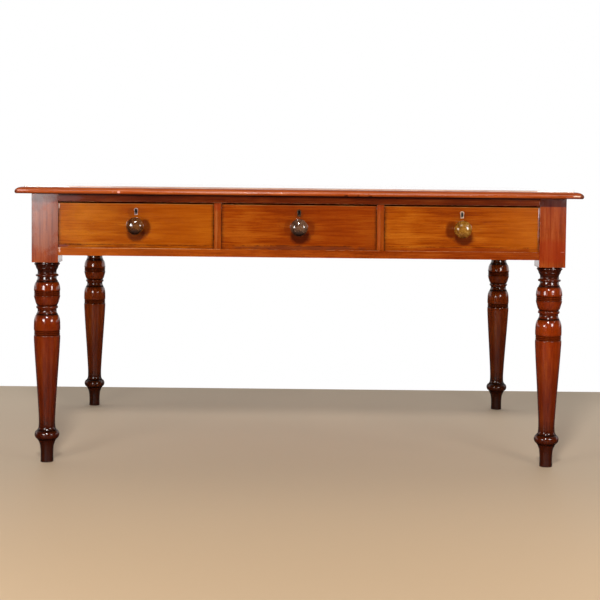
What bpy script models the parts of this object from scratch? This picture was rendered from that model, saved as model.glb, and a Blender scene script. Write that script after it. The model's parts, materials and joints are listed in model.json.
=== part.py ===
"""Library desk: a thumb-moulded top on four turned legs, with three dovetailed and locked frieze drawers.

Metres, +Z up. The front faces -Y, and the origin is on the floor below the middle of the top.
"""

import math

import bmesh
import bpy
from mathutils import Matrix, Vector

# Fits and edges
SEAT_GAP = 0.0003
CUT_OVERRUN = 0.002
SHARP_EDGE_ANGLE = math.radians(30)

# Whole desk
DESK_HEIGHT = 0.762
LEG_SPACING_X = 1.380
LEG_SPACING_Y = 0.900

# Top, with its moulded edge from the underside up
TOP_THICKNESS = 0.021
TOP_OVERHANG = 0.039
EDGE_UNDERCUT = 0.004
EDGE_NOSE_RISE = 0.006
EDGE_STEP_HEIGHT = 0.0028
EDGE_MOULD_WIDTH = 0.0225
EDGE_CURVE_STEPS = 4

# Frieze
FRIEZE_HEIGHT = 0.168
TOP_RAIL_HEIGHT = 0.021
BOTTOM_RAIL_HEIGHT = 0.0215
RAIL_REVEAL = 0.001
DIVIDER_WIDTH = 0.020
APRON_THICKNESS = 0.022

# Leg blocks and the turning below them, from the floor up
BLOCK_WIDTH = 0.072
BLOCK_DROP = 0.020
TURNING_SIDES = 20
FOOT_DIAMETER = 0.035
FOOT_WAIST_DIAMETER = 0.0343
FOOT_TOP_DIAMETER = 0.038
FOOT_HEIGHT = 0.046
ANKLE_FLARE_DIAMETER = 0.0455
ANKLE_FLARE_SHARE = 0.63
ANKLE_EDGE_DIAMETER = 0.0525
ANKLE_FLARE_HEIGHT = 0.0175
ANKLE_BEAD_DIAMETER = 0.0675
ANKLE_BEAD_HEIGHT = 0.025
SHAFT_FOOT_DIAMETER = 0.0442
ANKLE_COVE_HEIGHT = 0.0205
SHAFT_LOWER_DIAMETER = 0.0474
SHAFT_LOWER_HEIGHT = 0.041
SHAFT_TOP_DIAMETER = 0.0713
SHAFT_TAPER_HEIGHT = 0.188
SHOULDER_HEIGHT = 0.0265
SHOULDER_EDGE_DIAMETER = 0.057
NECK_COVE_HEIGHT = 0.0085
NECK_DIAMETER = 0.0516
NECK_HEIGHT = 0.006
NECK_BEAD_DIAMETER = 0.0588
NECK_BEAD_HEIGHT = 0.009
BULB_EDGE_DIAMETER = 0.0532
BULB_DIAMETER = 0.0713
BULB_HEIGHT = 0.0675
UPPER_NECK_HEIGHT = 0.012
RING_DIAMETER = 0.0622
RING_HEIGHT = 0.008
COLLAR_NECK_HEIGHT = 0.009
COLLAR_CONE_HEIGHT = 0.015
CONE_WAIST_DIAMETER = 0.058
CONE_WAIST_SHARE = 0.48
COLLAR_DIAMETER = 0.0692
COLLAR_HEIGHT = 0.0085
SWELL_SWEEP = math.radians(66)
GROOVE_PITCH = 0.0052
GROOVE_CUT = 0.0009
GROOVES_IN_BAND = 3
SHAFT_BAND_DROP = 0.0175
SWELL_STEPS = 3
COVE_STEPS = 2

# Joints of the frame
TOP_RAIL_TAIL_LENGTH = 0.028
TOP_RAIL_TAIL_ROOT_WIDTH = 0.030
TOP_RAIL_TAIL_END_WIDTH = 0.040
TWIN_TENON_LENGTH = 0.030
TWIN_TENON_WIDTH = 0.016
TWIN_TENON_SHARES = (0.27, 0.73)
APRON_TENON_LENGTH = 0.030
APRON_TENON_THICKNESS = 0.010
APRON_TENON_HEIGHT = 0.052
APRON_TENON_INSET = 0.014
DIVIDER_TENON_LENGTH = 0.010
DIVIDER_TENON_THICKNESS = 0.008
DIVIDER_TENON_WIDTH = 0.014
DIVIDER_TENON_SHARES = (0.25, 0.60)

# Runners under the drawer sides, guides beside them, kickers above them and stops behind the fronts
RUNNER_LEDGE = 0.017
TONGUE_LENGTH = 0.012
TONGUE_THICKNESS = 0.008
TONGUE_INSET = 0.004
GUIDE_HEIGHT = 0.022
OUTER_GUIDE_WIDTH = 0.020
STOP_LENGTH = 0.026
STOP_WIDTH = 0.040
STOP_THICKNESS = 0.006
STOP_PLACE_SHARES = (0.25, 0.75)

# Drawers, whose own frame starts at the lower front edge of the drawer front
DRAWER_LENGTH = 0.640
DRAWER_SIDE_CLEARANCE = 0.0012
DRAWER_TOP_CLEARANCE = 0.0044
DRAWER_FLOOR_CLEARANCE = 0.0004
FRONT_THICKNESS = 0.020
SIDE_THICKNESS = 0.011
SIDE_DROP = 0.003
BACK_THICKNESS = 0.011
BACK_DROP = 0.008
SIDE_CORNER_RADIUS = 0.007
SIDE_CORNER_STEPS = 3
PANEL_THICKNESS = 0.007
PANEL_RISE = 0.0105
SIDE_GROOVE_CUT = 0.005
FRONT_GROOVE_CUT = 0.007
FRONT_LAP = 0.005
FRONT_TAILS = 4
BACK_TAILS = 3
TAIL_SHARE = 0.72
TAIL_SLOPE_SHARE = 1 / 7

# Knob, turned on an axis square to the drawer front
KNOB_SIDES = 18
KNOB_STEM_DIAMETER = 0.015
KNOB_COLLAR_DIAMETER = 0.027
KNOB_COLLAR_THICKNESS = 0.003
KNOB_NECK_DIAMETER = 0.020
KNOB_NECK_LENGTH = 0.010
KNOB_DIAMETER = 0.0485
KNOB_FLARE_LENGTH = 0.011
KNOB_DOME_LENGTH = 0.0155
KNOB_TIP_DIAMETER = 0.012
KNOB_CURVE_STEPS = 3

# Keyhole and the brass thread escutcheon round it
KEYHOLE_DROP_FROM_TOP = 0.017
KEYHOLE_HEAD_DIAMETER = 0.0055
KEYHOLE_NECK_WIDTH = 0.0028
KEYHOLE_FOOT_WIDTH = 0.0036
KEYHOLE_DROP = 0.0108
KEYHOLE_ARC_STEPS = 9
ESCUTCHEON_WALL = 0.0029
ESCUTCHEON_DEPTH = 0.003
ESCUTCHEON_PROUD = 0.0004

# Cut drawer lock, let into the back and the top edge of the drawer front
LOCK_PLATE_WIDTH = 0.060
LOCK_PLATE_HEIGHT = 0.037
LOCK_PLATE_THICKNESS = 0.0015
LOCK_CASE_WIDTH = 0.044
LOCK_CASE_HEIGHT = 0.032
LOCK_CASE_DEPTH = 0.010
LOCK_CASE_WALL = 0.0015
LOCK_PIN_DIAMETER = 0.002
LOCK_PIN_SIDES = 8
SELVAGE_THICKNESS = 0.002
BOLT_THICKNESS = 0.005
BOLT_HEAD_WIDTH = 0.020
BOLT_TAIL_WIDTH = 0.034
BOLT_CHEEK_WIDTH = 0.005
BOLT_TRAVEL = 0.007
BOLT_MORTISE_CLEARANCE = 0.001

# Names, from left to right
DRAWER_NAMES = ("left", "middle", "right")
DIVIDER_NAMES = ("left", "right")
RUNNER_NAMES = ("outer_left", "inner_left", "inner_right", "outer_right")
SIDES = (("left", -1), ("right", 1))

# Finishes: sRGB colour, roughness and metallic value
FINISHES = {
    "mahogany": ((150, 62, 24), 0.28, 0.0),
    "top_mahogany": ((168, 72, 38), 0.22, 0.0),
    "drawer_front_mahogany": ((176, 88, 14), 0.30, 0.0),
    "knob_wood": ((104, 60, 24), 0.22, 0.0),
    "drawer_lining": ((176, 132, 80), 0.55, 0.0),
    "framing_wood": ((158, 106, 60), 0.60, 0.0),
    "brass": ((196, 150, 74), 0.30, 1.0),
    "steel": ((120, 112, 100), 0.42, 1.0),
}

# Levels and faces of the frame
UNDERSIDE_Z = DESK_HEIGHT - TOP_THICKNESS
FRAME_TOP_Z = UNDERSIDE_Z - SEAT_GAP
FRIEZE_Z = UNDERSIDE_Z - FRIEZE_HEIGHT
BLOCK_Z = FRIEZE_Z - BLOCK_DROP
TOP_RAIL_Z = UNDERSIDE_Z - TOP_RAIL_HEIGHT
FLOOR_Z = FRIEZE_Z + BOTTOM_RAIL_HEIGHT
BLOCK_INNER_X = (LEG_SPACING_X - BLOCK_WIDTH) / 2
BLOCK_OUTER_X = (LEG_SPACING_X + BLOCK_WIDTH) / 2
BLOCK_INNER_Y = (LEG_SPACING_Y - BLOCK_WIDTH) / 2
BLOCK_OUTER_Y = (LEG_SPACING_Y + BLOCK_WIDTH) / 2
RAIL_FACE_Y = RAIL_REVEAL - BLOCK_OUTER_Y
RAIL_BACK_Y = -BLOCK_INNER_Y
RAIL_DEPTH = RAIL_BACK_Y - RAIL_FACE_Y
RAIL_END_X = BLOCK_INNER_X - SEAT_GAP
APRON_OUTER_X = BLOCK_OUTER_X - RAIL_REVEAL
APRON_INNER_X = APRON_OUTER_X - APRON_THICKNESS
APRON_OUTER_Y = BLOCK_OUTER_Y - RAIL_REVEAL
APRON_INNER_Y = APRON_OUTER_Y - APRON_THICKNESS
OPENING_WIDTH = (2 * BLOCK_INNER_X - len(DIVIDER_NAMES) * DIVIDER_WIDTH) / len(DRAWER_NAMES)
DRAWER_PITCH = OPENING_WIDTH + DIVIDER_WIDTH
DRAWER_XS = [
    DRAWER_PITCH * (index - (len(DRAWER_NAMES) - 1) / 2) for index in range(len(DRAWER_NAMES))
]
DIVIDER_XS = [(left + right) / 2 for left, right in zip(DRAWER_XS, DRAWER_XS[1:])]

# Levels and faces in a drawer's own frame
DRAWER_HALF = OPENING_WIDTH / 2 - DRAWER_SIDE_CLEARANCE
DRAWER_INNER = DRAWER_HALF - SIDE_THICKNESS
FRONT_HEIGHT = TOP_RAIL_Z - FLOOR_Z - DRAWER_TOP_CLEARANCE - DRAWER_FLOOR_CLEARANCE
SIDE_HEIGHT = FRONT_HEIGHT - SIDE_DROP
PANEL_TOP = PANEL_RISE + PANEL_THICKNESS
BACK_LOW = PANEL_TOP + SEAT_GAP
BACK_TOP = SIDE_HEIGHT - BACK_DROP
FRONT_SHOULDER = FRONT_THICKNESS + SEAT_GAP
FRONT_TAIL_LENGTH = FRONT_THICKNESS - FRONT_LAP
BACK_INNER = DRAWER_LENGTH - BACK_THICKNESS
BACK_SHOULDER = BACK_INNER - SEAT_GAP
BACK_TAIL_LENGTH = DRAWER_LENGTH - BACK_SHOULDER
KNOB_Z = FRONT_HEIGHT / 2
KEYHOLE_Z = FRONT_HEIGHT - KEYHOLE_DROP_FROM_TOP
PLATE_FACE = FRONT_THICKNESS - LOCK_PLATE_THICKNESS
CASE_FACE = PLATE_FACE - LOCK_CASE_DEPTH
CASE_TOP = FRONT_HEIGHT - SELVAGE_THICKNESS
CASE_LOW = CASE_TOP - LOCK_CASE_HEIGHT
CAVITY_LOW = CASE_LOW + LOCK_CASE_WALL
BOLT_BACK = PLATE_FACE - SEAT_GAP
BOLT_FACE = BOLT_BACK - BOLT_THICKNESS


def finish(name):
    """The named finish as a material, made when first asked for."""
    if name in bpy.data.materials:
        return bpy.data.materials[name]
    colour, roughness, metallic = FINISHES[name]
    levels = [level / 255 for level in colour]
    linear = [((level + 0.055) / 1.055) ** 2.4 if level > 0.04 else level / 12.92 for level in levels]
    material = bpy.data.materials.new(name)
    material.use_nodes = True
    shader = material.node_tree.nodes["Principled BSDF"]
    shader.inputs["Base Color"].default_value = (*linear, 1)
    shader.inputs["Roughness"].default_value = roughness
    shader.inputs["Metallic"].default_value = metallic
    material.diffuse_color = (*linear, 1)
    return material


def box(x_span, y_span, z_span, margin=0):
    """A box shape between the spans, grown all round by the margin."""

    def add(bm):
        low, high = (Vector(corner) for corner in zip(x_span, y_span, z_span))
        size = high - low + Vector((2 * margin,) * 3)
        bmesh.ops.create_cube(
            bm, size=1, matrix=Matrix.Translation((low + high) / 2) @ Matrix.Diagonal(size.to_4d())
        )

    return add


def prism(axis, outline, low, high):
    """An outline of the other two coordinates, in X, Y, Z order, extruded along the axis."""

    def add(bm):
        place = "XYZ".index(axis)
        corners = [[*point[:place], low, *point[place:]] for point in outline]
        face = bm.faces.new([bm.verts.new(corner) for corner in corners])
        moved = bmesh.ops.extrude_face_region(bm, geom=[face])["geom"]
        shift = Vector((0, 0, 0))
        shift[place] = high - low
        bmesh.ops.translate(
            bm, vec=shift, verts=[item for item in moved if isinstance(item, bmesh.types.BMVert)]
        )

    return add


def turned(profile, sides, place=None):
    """A profile of (radius, height) points spun about Z with flat ends, then moved by a matrix."""

    def add(bm):
        verts = [bm.verts.new((radius, 0, height)) for radius, height in profile]
        edges = [bm.edges.new(pair) for pair in zip(verts, verts[1:])]
        bmesh.ops.spin(
            bm,
            geom=verts + edges,
            cent=(0, 0, 0),
            axis=(0, 0, 1),
            angle=2 * math.pi,
            steps=sides,
            use_merge=True,
        )
        bmesh.ops.holes_fill(bm, edges=[edge for edge in bm.edges if edge.is_boundary], sides=0)
        if place:
            bmesh.ops.transform(bm, matrix=place, verts=bm.verts)

    return add


def helper_object(name, shape):
    """A shape as a mesh object in the scene."""
    bm = bmesh.new()
    shape(bm)
    bmesh.ops.recalc_face_normals(bm, faces=bm.faces)
    mesh = bpy.data.meshes.new(name)
    bm.to_mesh(mesh)
    bm.free()
    helper = bpy.data.objects.new(name, mesh)
    bpy.context.collection.objects.link(helper)
    return helper


def solid(name, parts, cuts=(), smooth=False):
    """The mesh of the first part joined to the others, less the cuts."""
    base = helper_object(name, parts[0])
    helpers = [base]
    for operation, shapes in (("UNION", parts[1:]), ("DIFFERENCE", cuts)):
        for shape in shapes:
            helpers.append(helper_object("helper", shape))
            modifier = base.modifiers.new(operation, "BOOLEAN")
            modifier.operation = operation
            modifier.solver = "EXACT"
            modifier.object = helpers[-1]
    graph = bpy.context.evaluated_depsgraph_get()
    mesh = bpy.data.meshes.new_from_object(base.evaluated_get(graph))
    for helper in helpers:
        bpy.data.objects.remove(helper)
    mesh.name = name
    if smooth:
        mesh.shade_smooth()
        mesh.set_sharp_from_angle(angle=SHARP_EDGE_ANGLE)
    return mesh


def place(name, mesh, material, origin=(0, 0, 0), parent=None):
    """A piece whose mesh is drawn in its parent's frame, with its own origin at the given point."""
    if mesh.users == 0:
        mesh.transform(Matrix.Translation(origin).inverted())
        mesh.materials.clear()
        mesh.materials.append(finish(material))
    piece = bpy.data.objects.new(name, mesh)
    piece.location = origin
    piece.parent = parent
    bpy.context.collection.objects.link(piece)
    return piece


def quarter_round(start, end, steps, level_start):
    """Points after start on a quarter ellipse to end, which leaves start level or upright."""
    points = []
    for step in range(1, steps + 1):
        turn = math.pi / 2 * step / steps
        shares = (math.sin(turn), 1 - math.cos(turn))
        across, up = shares if level_start else shares[::-1]
        points.append((start[0] + (end[0] - start[0]) * across, start[1] + (end[1] - start[1]) * up))
    return points


def swelling(wide, narrow, steps):
    """Points of a turning from a wide level to a narrower one, on an arc that ends short of level."""
    points = []
    for step in range(steps + 1):
        turn = SWELL_SWEEP * step / steps
        inward = (1 - math.cos(turn)) / (1 - math.cos(SWELL_SWEEP))
        along = math.sin(turn) / math.sin(SWELL_SWEEP)
        points.append((wide[0] + (narrow[0] - wide[0]) * inward, wide[1] + (narrow[1] - wide[1]) * along))
    return points


def grooves(radius, low):
    """Three V grooves cut round a turning, as points from the level low upward."""
    points = [(radius, low)]
    for index in range(GROOVES_IN_BAND):
        middle = low + GROOVE_PITCH * (index + 0.5)
        high = low + GROOVE_PITCH * (index + 1)
        points += [(radius - GROOVE_CUT, middle), (radius, high)]
    return points


def leg_profile():
    """The turned leg as (radius, height) points, from the floor up into the block."""
    foot, waist, foot_top = FOOT_DIAMETER / 2, FOOT_WAIST_DIAMETER / 2, FOOT_TOP_DIAMETER / 2
    ankle_z = FOOT_HEIGHT + ANKLE_FLARE_HEIGHT
    bead_z = ankle_z + ANKLE_BEAD_HEIGHT
    shaft_z = bead_z + ANKLE_COVE_HEIGHT
    lower_z = shaft_z + SHAFT_LOWER_HEIGHT
    collar_z = BLOCK_Z - COLLAR_HEIGHT
    cone_z = collar_z - COLLAR_CONE_HEIGHT
    ring_top_z = cone_z - COLLAR_NECK_HEIGHT
    ring_z = ring_top_z - RING_HEIGHT
    bulb_top_z = ring_z - UPPER_NECK_HEIGHT
    bulb_z = bulb_top_z - BULB_HEIGHT
    neck_bead_z = bulb_z - NECK_BEAD_HEIGHT
    neck_z = neck_bead_z - NECK_HEIGHT
    cove_z = neck_z - NECK_COVE_HEIGHT
    shoulder_z = cove_z - SHOULDER_HEIGHT
    band = GROOVES_IN_BAND * GROOVE_PITCH
    band_z = shoulder_z - SHAFT_BAND_DROP - band
    shaft, shaft_top, neck = SHAFT_FOOT_DIAMETER / 2, SHAFT_TOP_DIAMETER / 2, NECK_DIAMETER / 2
    ankle_edge, ankle = ANKLE_EDGE_DIAMETER / 2, ANKLE_BEAD_DIAMETER / 2
    bulb_edge, bulb, ring = BULB_EDGE_DIAMETER / 2, BULB_DIAMETER / 2, RING_DIAMETER / 2
    collar, neck_bead = COLLAR_DIAMETER / 2, NECK_BEAD_DIAMETER / 2
    bead_widest = (ankle, (ankle_z + bead_z) / 2)
    bulb_low_z = (bulb_z + bulb_top_z - band) / 2

    points = [(foot, 0), (waist, FOOT_HEIGHT / 2), (foot_top, FOOT_HEIGHT)]
    points += [(ANKLE_FLARE_DIAMETER / 2, FOOT_HEIGHT + ANKLE_FLARE_HEIGHT * ANKLE_FLARE_SHARE)]
    points += swelling(bead_widest, (ankle_edge, ankle_z), SWELL_STEPS)[::-1]
    points += swelling(bead_widest, (ankle_edge, bead_z), SWELL_STEPS)[1:]
    points += quarter_round(points[-1], (shaft, shaft_z), COVE_STEPS, level_start=True)
    points += [(SHAFT_LOWER_DIAMETER / 2, lower_z), (shaft_top, lower_z + SHAFT_TAPER_HEIGHT)]
    points += grooves(shaft_top, band_z)
    points += swelling((shaft_top, shoulder_z), (SHOULDER_EDGE_DIAMETER / 2, cove_z), SWELL_STEPS)
    points += [(neck, neck_z), (neck, neck_bead_z), (neck_bead, (neck_bead_z + bulb_z) / 2)]
    points += swelling((bulb, bulb_low_z), (bulb_edge, bulb_z), SWELL_STEPS)[::-1]
    points += grooves(bulb, bulb_low_z)[1:]
    points += swelling((bulb, bulb_low_z + band), (bulb_edge, bulb_top_z), SWELL_STEPS)[1:]
    points += quarter_round(points[-1], (neck, ring_z), COVE_STEPS, level_start=True)
    points += [(ring, (ring_z + ring_top_z) / 2), (neck, ring_top_z), (neck, cone_z)]
    points += [(CONE_WAIST_DIAMETER / 2, cone_z + COLLAR_CONE_HEIGHT * CONE_WAIST_SHARE)]
    points += [(collar, collar_z), (collar, BLOCK_Z + CUT_OVERRUN)]
    return points


def tail(root, way, length, centre, tip_width, margin=0, run_in=0):
    """A dovetail's four corners from its low root to its high root, grown by the margin.

    It runs the given way along the first coordinate, and run_in carries it back behind its root.
    """
    slope = TAIL_SLOPE_SHARE
    tip_half = tip_width / 2 + margin
    root_half = tip_half - length * slope
    near = (root - way * run_in, root_half - run_in * slope)
    far = (root + way * (length + margin), tip_half + margin * slope)
    return [
        (near[0], centre - near[1]),
        (far[0], centre - far[1]),
        (far[0], centre + far[1]),
        (near[0], centre + near[1]),
    ]


def tail_places(low, high, count):
    """The centre and tip width of each dovetail in a height, with half pins at both ends."""
    pitch = (high - low) / count
    return [(low + pitch * (index + 0.5), pitch * TAIL_SHARE) for index in range(count)]


def build_top():
    """The board, lofted up its thumb moulding from rectangle to rectangle."""
    nose = TOP_THICKNESS - EDGE_STEP_HEIGHT
    section = [(EDGE_UNDERCUT, 0)]
    section += quarter_round(section[0], (0, EDGE_NOSE_RISE), EDGE_CURVE_STEPS, level_start=True)
    section += quarter_round(section[-1], (EDGE_MOULD_WIDTH, nose), EDGE_CURVE_STEPS, level_start=False)
    section += [(EDGE_MOULD_WIDTH, TOP_THICKNESS)]

    def lofted(bm):
        rings = []
        for inset, rise in section:
            half_x = BLOCK_OUTER_X + TOP_OVERHANG - inset
            half_y = BLOCK_OUTER_Y + TOP_OVERHANG - inset
            corners = [(-half_x, -half_y), (half_x, -half_y), (half_x, half_y), (-half_x, half_y)]
            ring = [bm.verts.new((x, y, UNDERSIDE_Z + rise)) for x, y in corners]
            rings.append([bm.edges.new((ring[index - 1], ring[index])) for index in range(4)])
        for lower, upper in zip(rings, rings[1:]):
            bmesh.ops.bridge_loops(bm, edges=lower + upper)
        bmesh.ops.holes_fill(bm, edges=rings[0] + rings[-1], sides=0)

    place("table_top", solid("table_top", [lofted]), "top_mahogany", (0, 0, UNDERSIDE_Z))


def top_rail_tail(side, margin=0):
    """The top front rail's dovetail into a leg block, as a shape."""
    centre = (RAIL_FACE_Y + RAIL_BACK_Y) / 2
    start = RAIL_END_X if not margin else RAIL_END_X - CUT_OVERRUN
    end = RAIL_END_X + TOP_RAIL_TAIL_LENGTH + margin
    root, tip = TOP_RAIL_TAIL_ROOT_WIDTH / 2 + margin, TOP_RAIL_TAIL_END_WIDTH / 2 + margin
    outline = [(start, centre - root), (end, centre - tip), (end, centre + tip), (start, centre + root)]
    return [(side * x, y) for x, y in outline]


def twin_tenon_spans():
    """The spans along Y of the bottom front rail's twin tenons."""
    centres = [RAIL_FACE_Y + RAIL_DEPTH * share for share in TWIN_TENON_SHARES]
    return [(centre - TWIN_TENON_WIDTH / 2, centre + TWIN_TENON_WIDTH / 2) for centre in centres]


def apron_tenon_heights():
    """The spans along Z of the two tenons at each end of an apron."""
    low, high = FRIEZE_Z + APRON_TENON_INSET, FRAME_TOP_Z - APRON_TENON_INSET
    return [(low, low + APRON_TENON_HEIGHT), (high - APRON_TENON_HEIGHT, high)]


def side_apron_tenons(side, margin=0):
    """The tenons of a side apron, run through its whole length, as shapes."""
    middle = side * (APRON_INNER_X + APRON_OUTER_X) / 2
    x_span = (middle - APRON_TENON_THICKNESS / 2, middle + APRON_TENON_THICKNESS / 2)
    reach = BLOCK_INNER_Y + APRON_TENON_LENGTH
    return [box(x_span, (-reach, reach), heights, margin) for heights in apron_tenon_heights()]


def back_apron_tenons(margin=0):
    """The tenons of the back apron, run through its whole length, as shapes."""
    middle = (APRON_INNER_Y + APRON_OUTER_Y) / 2
    y_span = (middle - APRON_TENON_THICKNESS / 2, middle + APRON_TENON_THICKNESS / 2)
    reach = BLOCK_INNER_X + APRON_TENON_LENGTH
    return [box((-reach, reach), y_span, heights, margin) for heights in apron_tenon_heights()]


def divider_tenons(x, margin=0):
    """A divider's stub tenons, run through its whole height, as shapes."""
    x_span = (x - DIVIDER_TENON_THICKNESS / 2, x + DIVIDER_TENON_THICKNESS / 2)
    z_span = (FLOOR_Z - DIVIDER_TENON_LENGTH, TOP_RAIL_Z + DIVIDER_TENON_LENGTH)
    shapes = []
    for share in DIVIDER_TENON_SHARES:
        centre = RAIL_FACE_Y + RAIL_DEPTH * share
        y_span = (centre - DIVIDER_TENON_WIDTH / 2, centre + DIVIDER_TENON_WIDTH / 2)
        shapes.append(box(x_span, y_span, z_span, margin))
    return shapes


def runner_lines():
    """Name, X span of the runner, X span of its guide and Y of its back end, for each drawer runner."""
    ledge = DIVIDER_WIDTH / 2 + RUNNER_LEDGE
    inner = [((x - ledge, x + ledge), (x - DIVIDER_WIDTH / 2, x + DIVIDER_WIDTH / 2)) for x in DIVIDER_XS]
    outer_x = (BLOCK_INNER_X - RUNNER_LEDGE, APRON_INNER_X - SEAT_GAP)
    guide_x = (BLOCK_INNER_X, BLOCK_INNER_X + OUTER_GUIDE_WIDTH)
    mirrored = [(-outer_x[1], -outer_x[0]), (-guide_x[1], -guide_x[0])]
    spans = [mirrored, *inner, (outer_x, guide_x)]
    ends = [BLOCK_INNER_Y, *[APRON_INNER_Y] * len(inner), BLOCK_INNER_Y]
    return [(name, *span, end - SEAT_GAP) for name, span, end in zip(RUNNER_NAMES, spans, ends)]


def tongue(x_span, end_y, z_span, margin=0):
    """The tongue of a runner or a kicker, run through its whole length, as a shape."""
    half_clear = BLOCK_INNER_X - TONGUE_INSET
    x_low = max(x_span[0] + TONGUE_INSET, -half_clear)
    x_high = min(x_span[1] - TONGUE_INSET, half_clear)
    middle = sum(z_span) / 2
    heights = (middle - TONGUE_THICKNESS / 2, middle + TONGUE_THICKNESS / 2)
    back = end_y - TONGUE_INSET if end_y < BLOCK_INNER_Y else end_y + TONGUE_LENGTH
    return box((x_low, x_high), (RAIL_BACK_Y - TONGUE_LENGTH, back), heights, margin)


def runner_heights():
    """The spans along Z of the runners and of the kickers."""
    return {"runner": (FRIEZE_Z, FLOOR_Z), "kicker": (TOP_RAIL_Z, FRAME_TOP_Z)}


def tongue_mortises(kind):
    """The mortises for the tongues of all runners or all kickers."""
    heights = runner_heights()[kind]
    return [tongue(x_span, end_y, heights, SEAT_GAP) for _, x_span, _, end_y in runner_lines()]


def build_legs():
    """Four legs, each a square block over a turning, with the mortises that its corner needs."""
    profile = leg_profile()
    for depth_name, depth in (("front", -1), ("back", 1)):
        for side_name, side in SIDES:
            x, y = side * LEG_SPACING_X / 2, depth * LEG_SPACING_Y / 2
            half = BLOCK_WIDTH / 2
            block = box((x - half, x + half), (y - half, y + half), (BLOCK_Z, FRAME_TOP_Z))
            turning = turned(profile, TURNING_SIDES, Matrix.Translation((x, y, 0)))
            cuts = side_apron_tenons(side, SEAT_GAP)
            if depth > 0:
                cuts += back_apron_tenons(SEAT_GAP)
            else:
                outline = top_rail_tail(side, SEAT_GAP)
                cuts.append(prism("Z", outline, TOP_RAIL_Z - SEAT_GAP, FRAME_TOP_Z + CUT_OVERRUN))
                reach = BLOCK_INNER_X + TWIN_TENON_LENGTH
                for y_span in twin_tenon_spans():
                    cuts.append(box((-reach, reach), y_span, (FRIEZE_Z, FLOOR_Z), SEAT_GAP))
            name = f"{depth_name}_{side_name}_leg"
            place(name, solid(name, [block, turning], cuts, smooth=True), "mahogany", (x, y, 0))


def build_front_rails():
    """The rails above and below the drawers, which carry the dividers and the runners' tongues."""
    face, back = RAIL_FACE_Y, RAIL_BACK_Y
    right = [(RAIL_END_X, face), *top_rail_tail(1), (RAIL_END_X, back)]
    outline = right + [(-x, y) for x, y in reversed(right)]
    cuts = [shape for x in DIVIDER_XS for shape in divider_tenons(x, SEAT_GAP)]
    bolt_mortises = []
    for x in DRAWER_XS:
        clear = BOLT_MORTISE_CLEARANCE
        x_span = (x - BOLT_HEAD_WIDTH / 2 - clear, x + BOLT_HEAD_WIDTH / 2 + clear)
        y_span = (RAIL_FACE_Y + BOLT_FACE - clear, RAIL_FACE_Y + BOLT_BACK + clear)
        bolt_mortises.append(box(x_span, y_span, (TOP_RAIL_Z - CUT_OVERRUN, TOP_RAIL_Z + BOLT_TRAVEL)))
    mesh = solid(
        "front_top_rail",
        [prism("Z", outline, TOP_RAIL_Z, FRAME_TOP_Z)],
        cuts + bolt_mortises + tongue_mortises("kicker"),
    )
    place("front_top_rail", mesh, "mahogany", (0, RAIL_FACE_Y, TOP_RAIL_Z))

    end = RAIL_END_X + TWIN_TENON_LENGTH
    right = [(RAIL_END_X, face)]
    for low, high in twin_tenon_spans():
        right += [(RAIL_END_X, low), (end, low), (end, high), (RAIL_END_X, high)]
    right += [(RAIL_END_X, back)]
    outline = right + [(-x, y) for x, y in reversed(right)]
    mesh = solid(
        "front_bottom_rail", [prism("Z", outline, FRIEZE_Z, FLOOR_Z)], cuts + tongue_mortises("runner")
    )
    place("front_bottom_rail", mesh, "mahogany", (0, RAIL_FACE_Y, FRIEZE_Z))


def build_dividers():
    """The uprights between the drawers, stub-tenoned into the front rails."""
    for name, x in zip(DIVIDER_NAMES, DIVIDER_XS):
        x_span = (x - DIVIDER_WIDTH / 2, x + DIVIDER_WIDTH / 2)
        board = box(x_span, (RAIL_FACE_Y, RAIL_BACK_Y), (FLOOR_Z + SEAT_GAP, TOP_RAIL_Z - SEAT_GAP))
        mesh = solid(f"{name}_divider", [board, *divider_tenons(x)])
        place(f"{name}_divider", mesh, "mahogany", (x, RAIL_FACE_Y, FLOOR_Z))


def build_aprons():
    """The deep side and back boards of the frieze, with two tenons at each end."""
    z_span = (FRIEZE_Z, FRAME_TOP_Z)
    y_span = (SEAT_GAP - BLOCK_INNER_Y, BLOCK_INNER_Y - SEAT_GAP)
    for name, side in SIDES:
        x_span = sorted((side * APRON_INNER_X, side * APRON_OUTER_X))
        mesh = solid(f"{name}_apron", [box(x_span, y_span, z_span), *side_apron_tenons(side)])
        place(f"{name}_apron", mesh, "mahogany", (side * APRON_INNER_X, 0, FRIEZE_Z))
    board = box((-RAIL_END_X, RAIL_END_X), (APRON_INNER_Y, APRON_OUTER_Y), z_span)
    cuts = [shape for kind in ("runner", "kicker") for shape in tongue_mortises(kind)[1:-1]]
    mesh = solid("back_apron", [board, *back_apron_tenons()], cuts)
    place("back_apron", mesh, "mahogany", (0, APRON_INNER_Y, FRIEZE_Z))


def build_runners():
    """Runners, guides and kickers, which carry the drawers, steer them and keep them from tipping."""
    start = RAIL_BACK_Y + SEAT_GAP
    for name, x_span, guide_span, end in runner_lines():
        for kind, z_span in runner_heights().items():
            mesh = solid(kind, [box(x_span, (start, end), z_span), tongue(x_span, end, z_span)])
            place(f"{name}_{kind}", mesh, "framing_wood", (sum(x_span) / 2, start, z_span[0]))
        low = FLOOR_Z + SEAT_GAP
        mesh = solid("guide", [box(guide_span, (start, end), (low, low + GUIDE_HEIGHT))])
        place(f"{name}_guide", mesh, "framing_wood", (sum(guide_span) / 2, start, low))


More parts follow.
